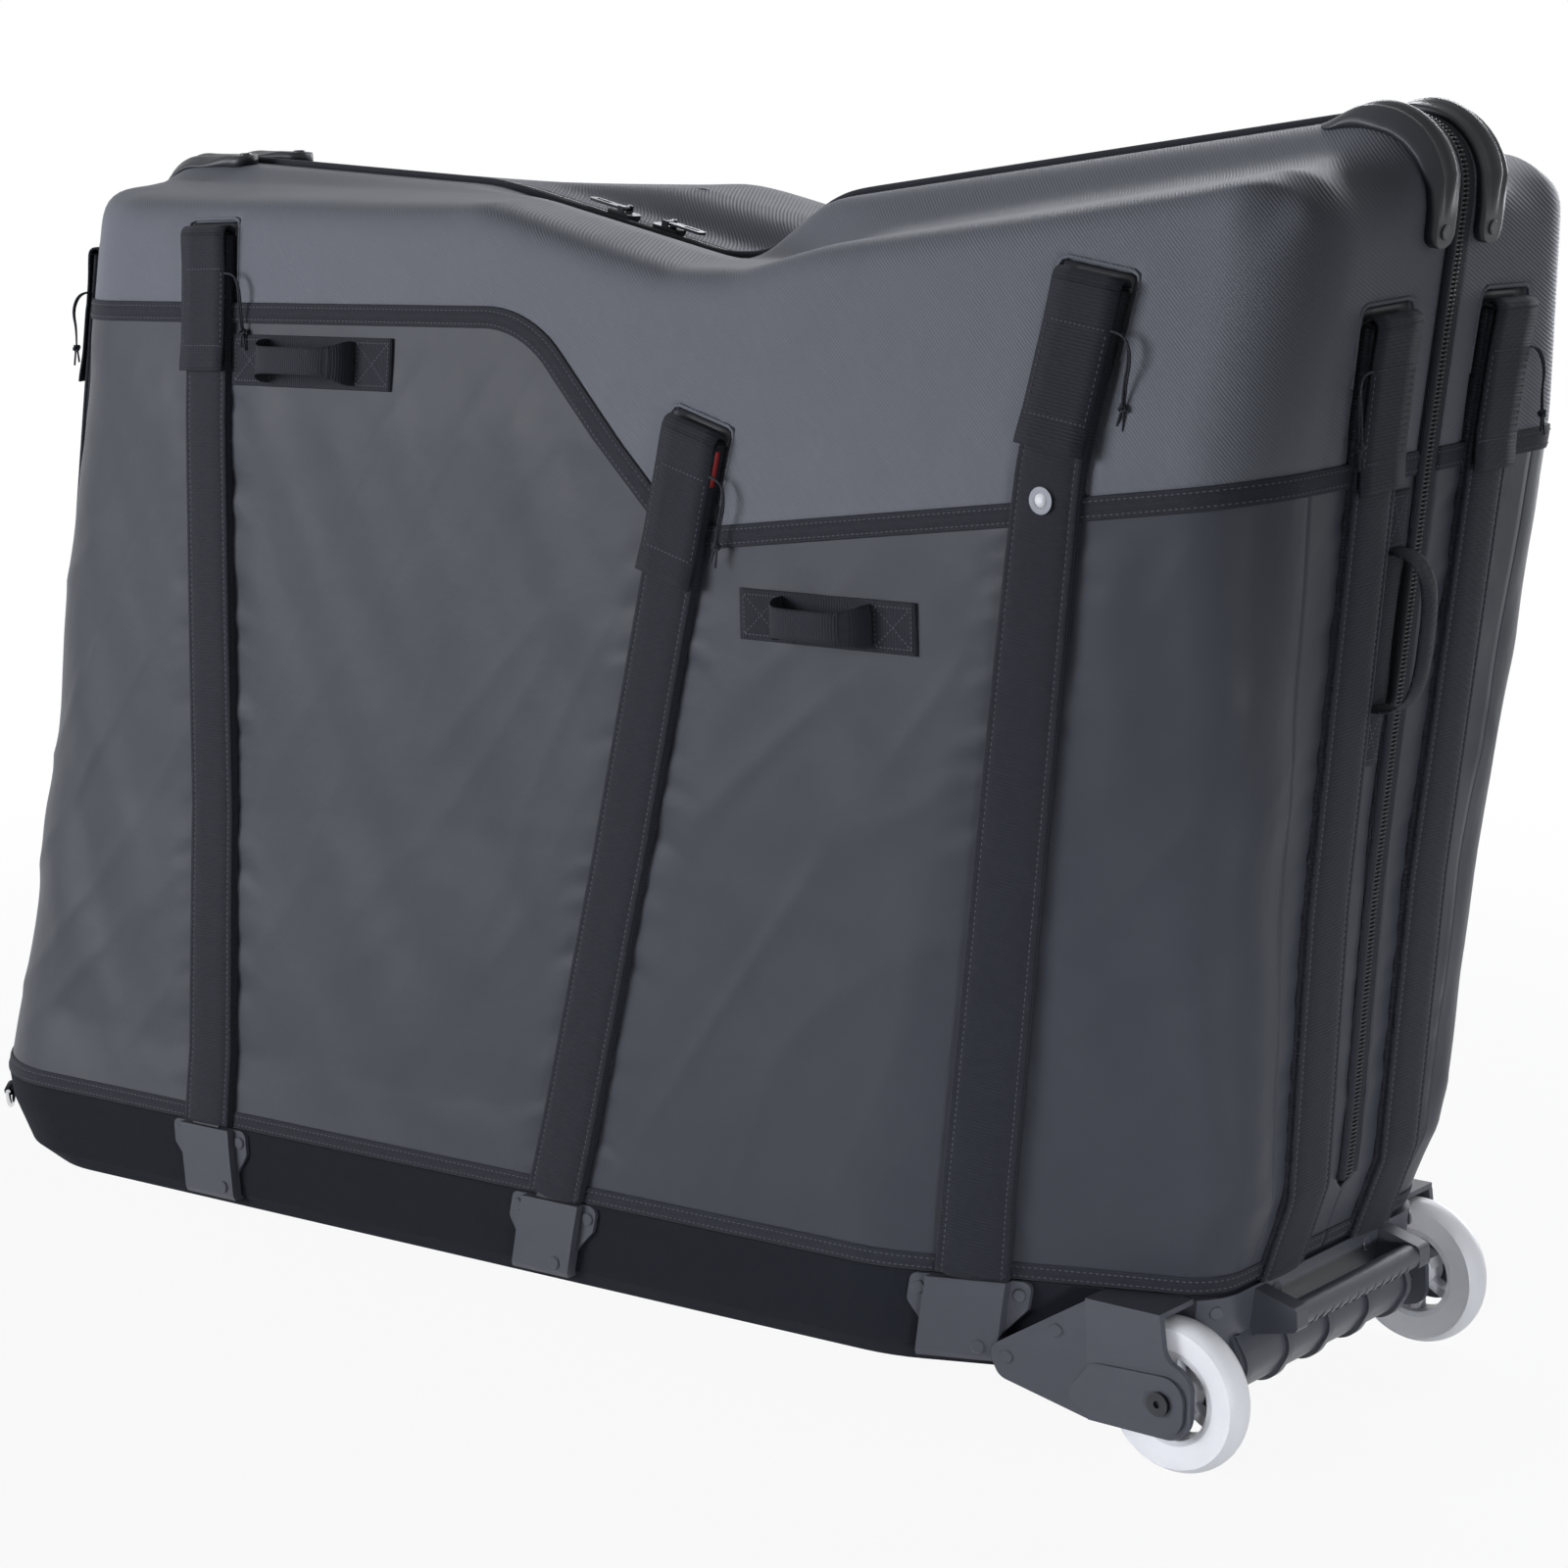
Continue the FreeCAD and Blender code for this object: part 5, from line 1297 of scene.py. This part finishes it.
PAD_VOXELS = {"floor_pad": 0.005, "frame_cradle": 0.004}
PAD_SOFTENING = 8


def make_pads():
    """Padded floor and foam cradle, from the solids they stand for."""
    for name, voxel in PAD_VOXELS.items():
        piece = add_object(name + "_piece", NODES[name].data.copy())
        piece.data.materials.clear()
        piece.data.materials.append(FOAM)
        remesh = piece.modifiers.new("even", "REMESH")
        remesh.mode = "VOXEL"
        remesh.voxel_size = voxel
        remesh.use_smooth_shade = True
        soften = piece.modifiers.new("soften", "SMOOTH")
        soften.iterations = PAD_SOFTENING
        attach(piece, "base")
        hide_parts(name)


TAB_PROFILE = [(-10, -0.8), (10, -0.8), (10, 0.8), (-10, 0.8)]
TAB_RADIUS = 3.2
TAB_DEPTH = 5.2


def make_ring_tabs():
    """Webbing loops that hold the D-rings."""
    up = Vector((0, 0, 1))
    for side, _ in SIDES:
        joint = JOINTS[side + "_ring_swing"]
        bar = Vector(to_case([joint["pos_m"]])[0])
        axis = Vector(np.array(joint["axis"]) @ CASE_AXES.T).normalized()
        out = up.cross(axis).normalized()
        if out.dot(bar - CASE_MIDDLE) < 0:
            out.negate()
        root = bar - out * TAB_DEPTH
        loop = [(root - up * TAB_RADIUS, -up)]
        for angle in spread(-math.pi / 2, math.pi / 2, 14):
            normal = out * math.cos(angle) + up * math.sin(angle)
            loop.append((bar + normal * TAB_RADIUS, normal))
        loop.append((root + up * TAB_RADIUS, up))
        geometry = Geometry()
        geometry.sweep([[centre + axis * t + normal * h for t, h in TAB_PROFILE] for centre, normal in loop])
        geometry.make(side + "_ring_tab_piece", STRAP, "base", "webbing", ["ring_tabs"])


TIP_PROFILE = [(24.0, 2.2), (24.6, 4.0), (24.0, 6.4), (18.0, 7.2), (0.0, 7.4), (-18.0, 7.2), (-18.0, 2.0),
               (0.0, 1.8)]
TIP_SHIFT = 1.4
TIP_SHARES = (0.8, 1.0, 1.0, 1.0, 1.0, 1.0, 1.0)


def make_pole_tips():
    """Cap of the middle pole, seen in the open side of its flap."""
    geometry = Geometry()
    stations = []
    for k, share in enumerate(TIP_SHARES):
        profile = [(t * share + TIP_SHIFT, h) for t, h in TIP_PROFILE]
        stations.append(STRAPS["side_middle"].station(FLAP_LOOP + 1.0 + STRAP_STEP * k, profile))
    geometry.sweep(stations)
    make_both(geometry, "pole_tips", POLE_TIP, "pole")


def make_eyelet_discs():
    """The pale disc that is seen through the eyelet."""
    geometry = Geometry()
    strap = STRAPS["side_wheel"]
    centre = Vector(node_points("front_eyelet").mean(axis=0))
    out = strap.out((strap.start - SIDE.flat(centre)).length)
    side = out.orthogonal().normalized()
    turn = out.cross(side)
    rings = []
    for lift in (-0.6, 0.15):
        rings.append([centre + out * lift + (side * math.cos(angle) + turn * math.sin(angle)) * EYELET_BORE
                      for angle in circle(24)])
    geometry.sweep(rings)
    make_both(geometry, "eyelet_disc", TYRE, "pole")


def make_lips():
    """Rounded lip of the pressed pocket round the head of each flap, and inside it a dark plate: painted
    shade of the slot.
    """
    geometry = Geometry()
    painted_shades = Geometry()
    side = FLAP_WIDTH / 2 + RECESS_MARGIN + 0.5
    head = -RECESS_MARGIN - 3.0
    outline = [(LIP_REACH, side), (LIP_REACH / 2, side), (head + LIP_CORNER, side), (head + 2.0, side - 2.0),
               (head, side - LIP_CORNER)]
    outline += [(s, -t) for s, t in reversed(outline)]
    # A dark plate in the slot under each lip: painted shade, not a real opening
    shade_half = FLAP_WIDTH / 2 + 1.0
    shade_profile = half_profile([(shade_half, -RECESS_DEPTH - 0.5), (shade_half, PAINTED_SHADE_TOP),
                          (FLAP_WIDTH / 4, PAINTED_SHADE_TOP), (0.0, PAINTED_SHADE_TOP)])
    for strap in STRAPS.values():
        line = []
        for (s0, t0), (s1, t1) in zip(outline, outline[1:]):
            steps = max(1, int(math.hypot(s1 - s0, t1 - t0) / LIP_STEP))
            for s, t in list(zip(spread(s0, s1, steps), spread(t0, t1, steps)))[:-1]:
                line.append(strap.spot(s, t) - strap.out(s) * LIP_SINK)
        tube(geometry, line, LIP_RADIUS, sides=8)
        painted_shades.sweep([strap.station(s, shade_profile) for s in spread(-RECESS_MARGIN - 1.0, 6.0, 3)])
    make_both(geometry, "flap_lips", SHELL, "shell")
    # The poles' dark plastic on these plates is painted shade of the slots
    make_both(painted_shades, "flap_painted_shades", POLE, "pole")


# Rigid nodes that keep their own shape: material and width of their softened edges

SINGLE = {
    "base_tub": (FLEECE, 0.8), "skid_feet": (PLASTIC, 1.0), "bracket_rivets": (PLASTIC, 0.0),
    "carrier_rivets": (PLASTIC, 0.0), "end_carrier": (PLASTIC, 0.8), "end_grip": (PLASTIC, 0.5),
    "axle_bolts": (BLACK_METAL, 0.3), "axle_nuts": (BLACK_METAL, 0.3), "slider_far": (BLACK_METAL, 0.4),
    "slider_wheel": (BLACK_METAL, 0.4), "pull_far": (BLACK_METAL, 0.3), "pull_wheel": (BLACK_METAL, 0.3),
}
PAIRED = {
    "pole_brackets": (PLASTIC, 0.7), "wheel_bracket": (PLASTIC, 1.6), "guard_rivets": (BLACK_METAL, 0.0),
    "eyelet": (NICKEL, 0.4), "poles": (POLE, 0.0), "d_ring": (STEEL, 0.0), "tyre": (TYRE, 0.8),
    "hub": (ALLOY, 0.5), "bearings": (STEEL, 0.3), "spacer": (STEEL, 0.0),
}
EDGE_ANGLE = 32.0


def dress_rigid():
    looks = dict(SINGLE)
    for side, _ in SIDES:
        looks.update({"%s_%s" % (side, name): look for name, look in PAIRED.items()})
    for name, (material, bevel) in looks.items():
        node = NODES[name]
        for slot in node.material_slots:
            slot.material = material
        if bevel > 0:
            modifier = node.modifiers.new("edges", "BEVEL")
            modifier.width = bevel * MM
            modifier.segments = 2
            modifier.limit_method = "ANGLE"
            modifier.angle_limit = math.radians(EDGE_ANGLE)
            modifier.harden_normals = True


# Floor, light and background

AMBIENT = 0.05
FLOOR_REACH = 60.0
FLOOR_COLOUR = (0.55, 0.55, 0.56, 1.0)
FLOOR_ROUGHNESS = 0.9
FLOOR_GLOW = 0.93
FLOOR_FADE = (0.9, 1.8)


def seen_ray(tree):
    """1 for rays from the camera, straight, through something clear or off something glossy."""
    path = tree.nodes.new("ShaderNodeLightPath")
    seen = path.outputs["Is Camera Ray"]
    for way in ("Is Glossy Ray", "Is Transmission Ray"):
        seen = math_node(tree, "MAXIMUM", seen, path.outputs[way])
    return seen


def make_world():
    world = bpy.data.worlds.new("studio")
    bpy.context.scene.world = world
    world.use_nodes = True
    tree = world.node_tree
    background = tree.nodes["Background"]
    background.inputs["Color"].default_value = (1.0, 1.0, 1.0, 1.0)
    strength = range_node(tree, seen_ray(tree), AMBIENT, 1.0)
    tree.links.new(strength, background.inputs["Strength"])


def make_floor():
    """Pale floor that glows for the camera, and fully so far away, with a faint shadow under the case."""
    mesh = bpy.data.meshes.new("floor")
    corners = [(x * FLOOR_REACH, y * FLOOR_REACH, 0) for x, y in ((-1, -1), (1, -1), (1, 1), (-1, 1))]
    mesh.from_pydata(corners, [], [(0, 1, 2, 3)])
    floor = add_object("floor", mesh)
    material = bpy.data.materials.new("floor")
    material.use_nodes = True
    tree = material.node_tree
    shader = tree.nodes["Principled BSDF"]
    shader.inputs["Base Color"].default_value = FLOOR_COLOUR
    shader.inputs["Roughness"].default_value = FLOOR_ROUGHNESS
    glow = add_node(tree, "Emission", "Emission", {"Strength": 1.0})
    place = add_node(tree, "NewGeometry", "Position", {})
    distance = add_node(tree, "VectorMath", "Value", {0: place}, operation="LENGTH")
    fade = range_node(tree, distance, FLOOR_GLOW, 1.0, *FLOOR_FADE)
    share = math_node(tree, "MULTIPLY", seen_ray(tree), fade)
    blend = add_node(tree, "MixShader", "Shader", {"Fac": share, 1: shader.outputs["BSDF"], 2: glow})
    tree.links.new(blend, tree.nodes["Material Output"].inputs["Surface"])
    mesh.materials.append(material)


# Lamps: place, target, width, height, power and the angle that the light spreads over
LIGHTS = {
    "key": ((-2.9, -4.2, 1.3), (-0.1, 0.0, 0.5), 2.4, 2.0, 212.0, 180.0),
    "low": ((2.9, -1.5, 0.25), (0.6, -0.1, 0.22), 0.9, 0.3, 1.25, 26.0),
    "edge": ((3.1, 1.1, 2.0), (0.5, 0.0, 0.6), 0.3, 1.8, 5.0, 180.0),
    "back": ((-0.6, 2.8, 2.6), (-0.2, 0.0, 0.8), 3.0, 0.4, 70.0, 180.0),
    "rear": ((0.0, 4.6, 0.9), (-0.1, 0.0, 0.45), 2.4, 1.6, 90.0, 180.0),
}
LIGHT_TINT = (0.95, 0.965, 1.02)


def make_lights():
    for name, (place, target, width, height, power, beam) in LIGHTS.items():
        data = bpy.data.lights.new(name, "AREA")
        data.shape = "RECTANGLE"
        data.size = width
        data.size_y = height
        data.spread = math.radians(beam)
        data.color = LIGHT_TINT
        data.energy = power
        lamp = add_object(name, data)
        lamp.location = place
        lamp.rotation_mode = "QUATERNION"
        lamp.rotation_quaternion = (Vector(target) - Vector(place)).to_track_quat("-Z", "Y")


def main():
    bpy.context.scene.view_settings.view_transform = "Standard"
    make_camera()
    make_cords()
    threads = Geometry()
    end_threads = Geometry()
    make_sleeves(threads)
    make_flaps(threads)
    make_panels()
    make_shells()
    make_tapes(threads)
    make_zips()
    make_guards()
    make_handles(threads, end_threads)
    make_both(threads, "stitching", THREAD, "tape")
    end_threads.make("front_end_stitching", THREAD, "front_half", "tape")
    make_pads()
    make_ring_tabs()
    make_pole_tips()
    make_eyelet_discs()
    make_lips()
    dress_rigid()
    make_world()
    make_floor()
    make_lights()


main()
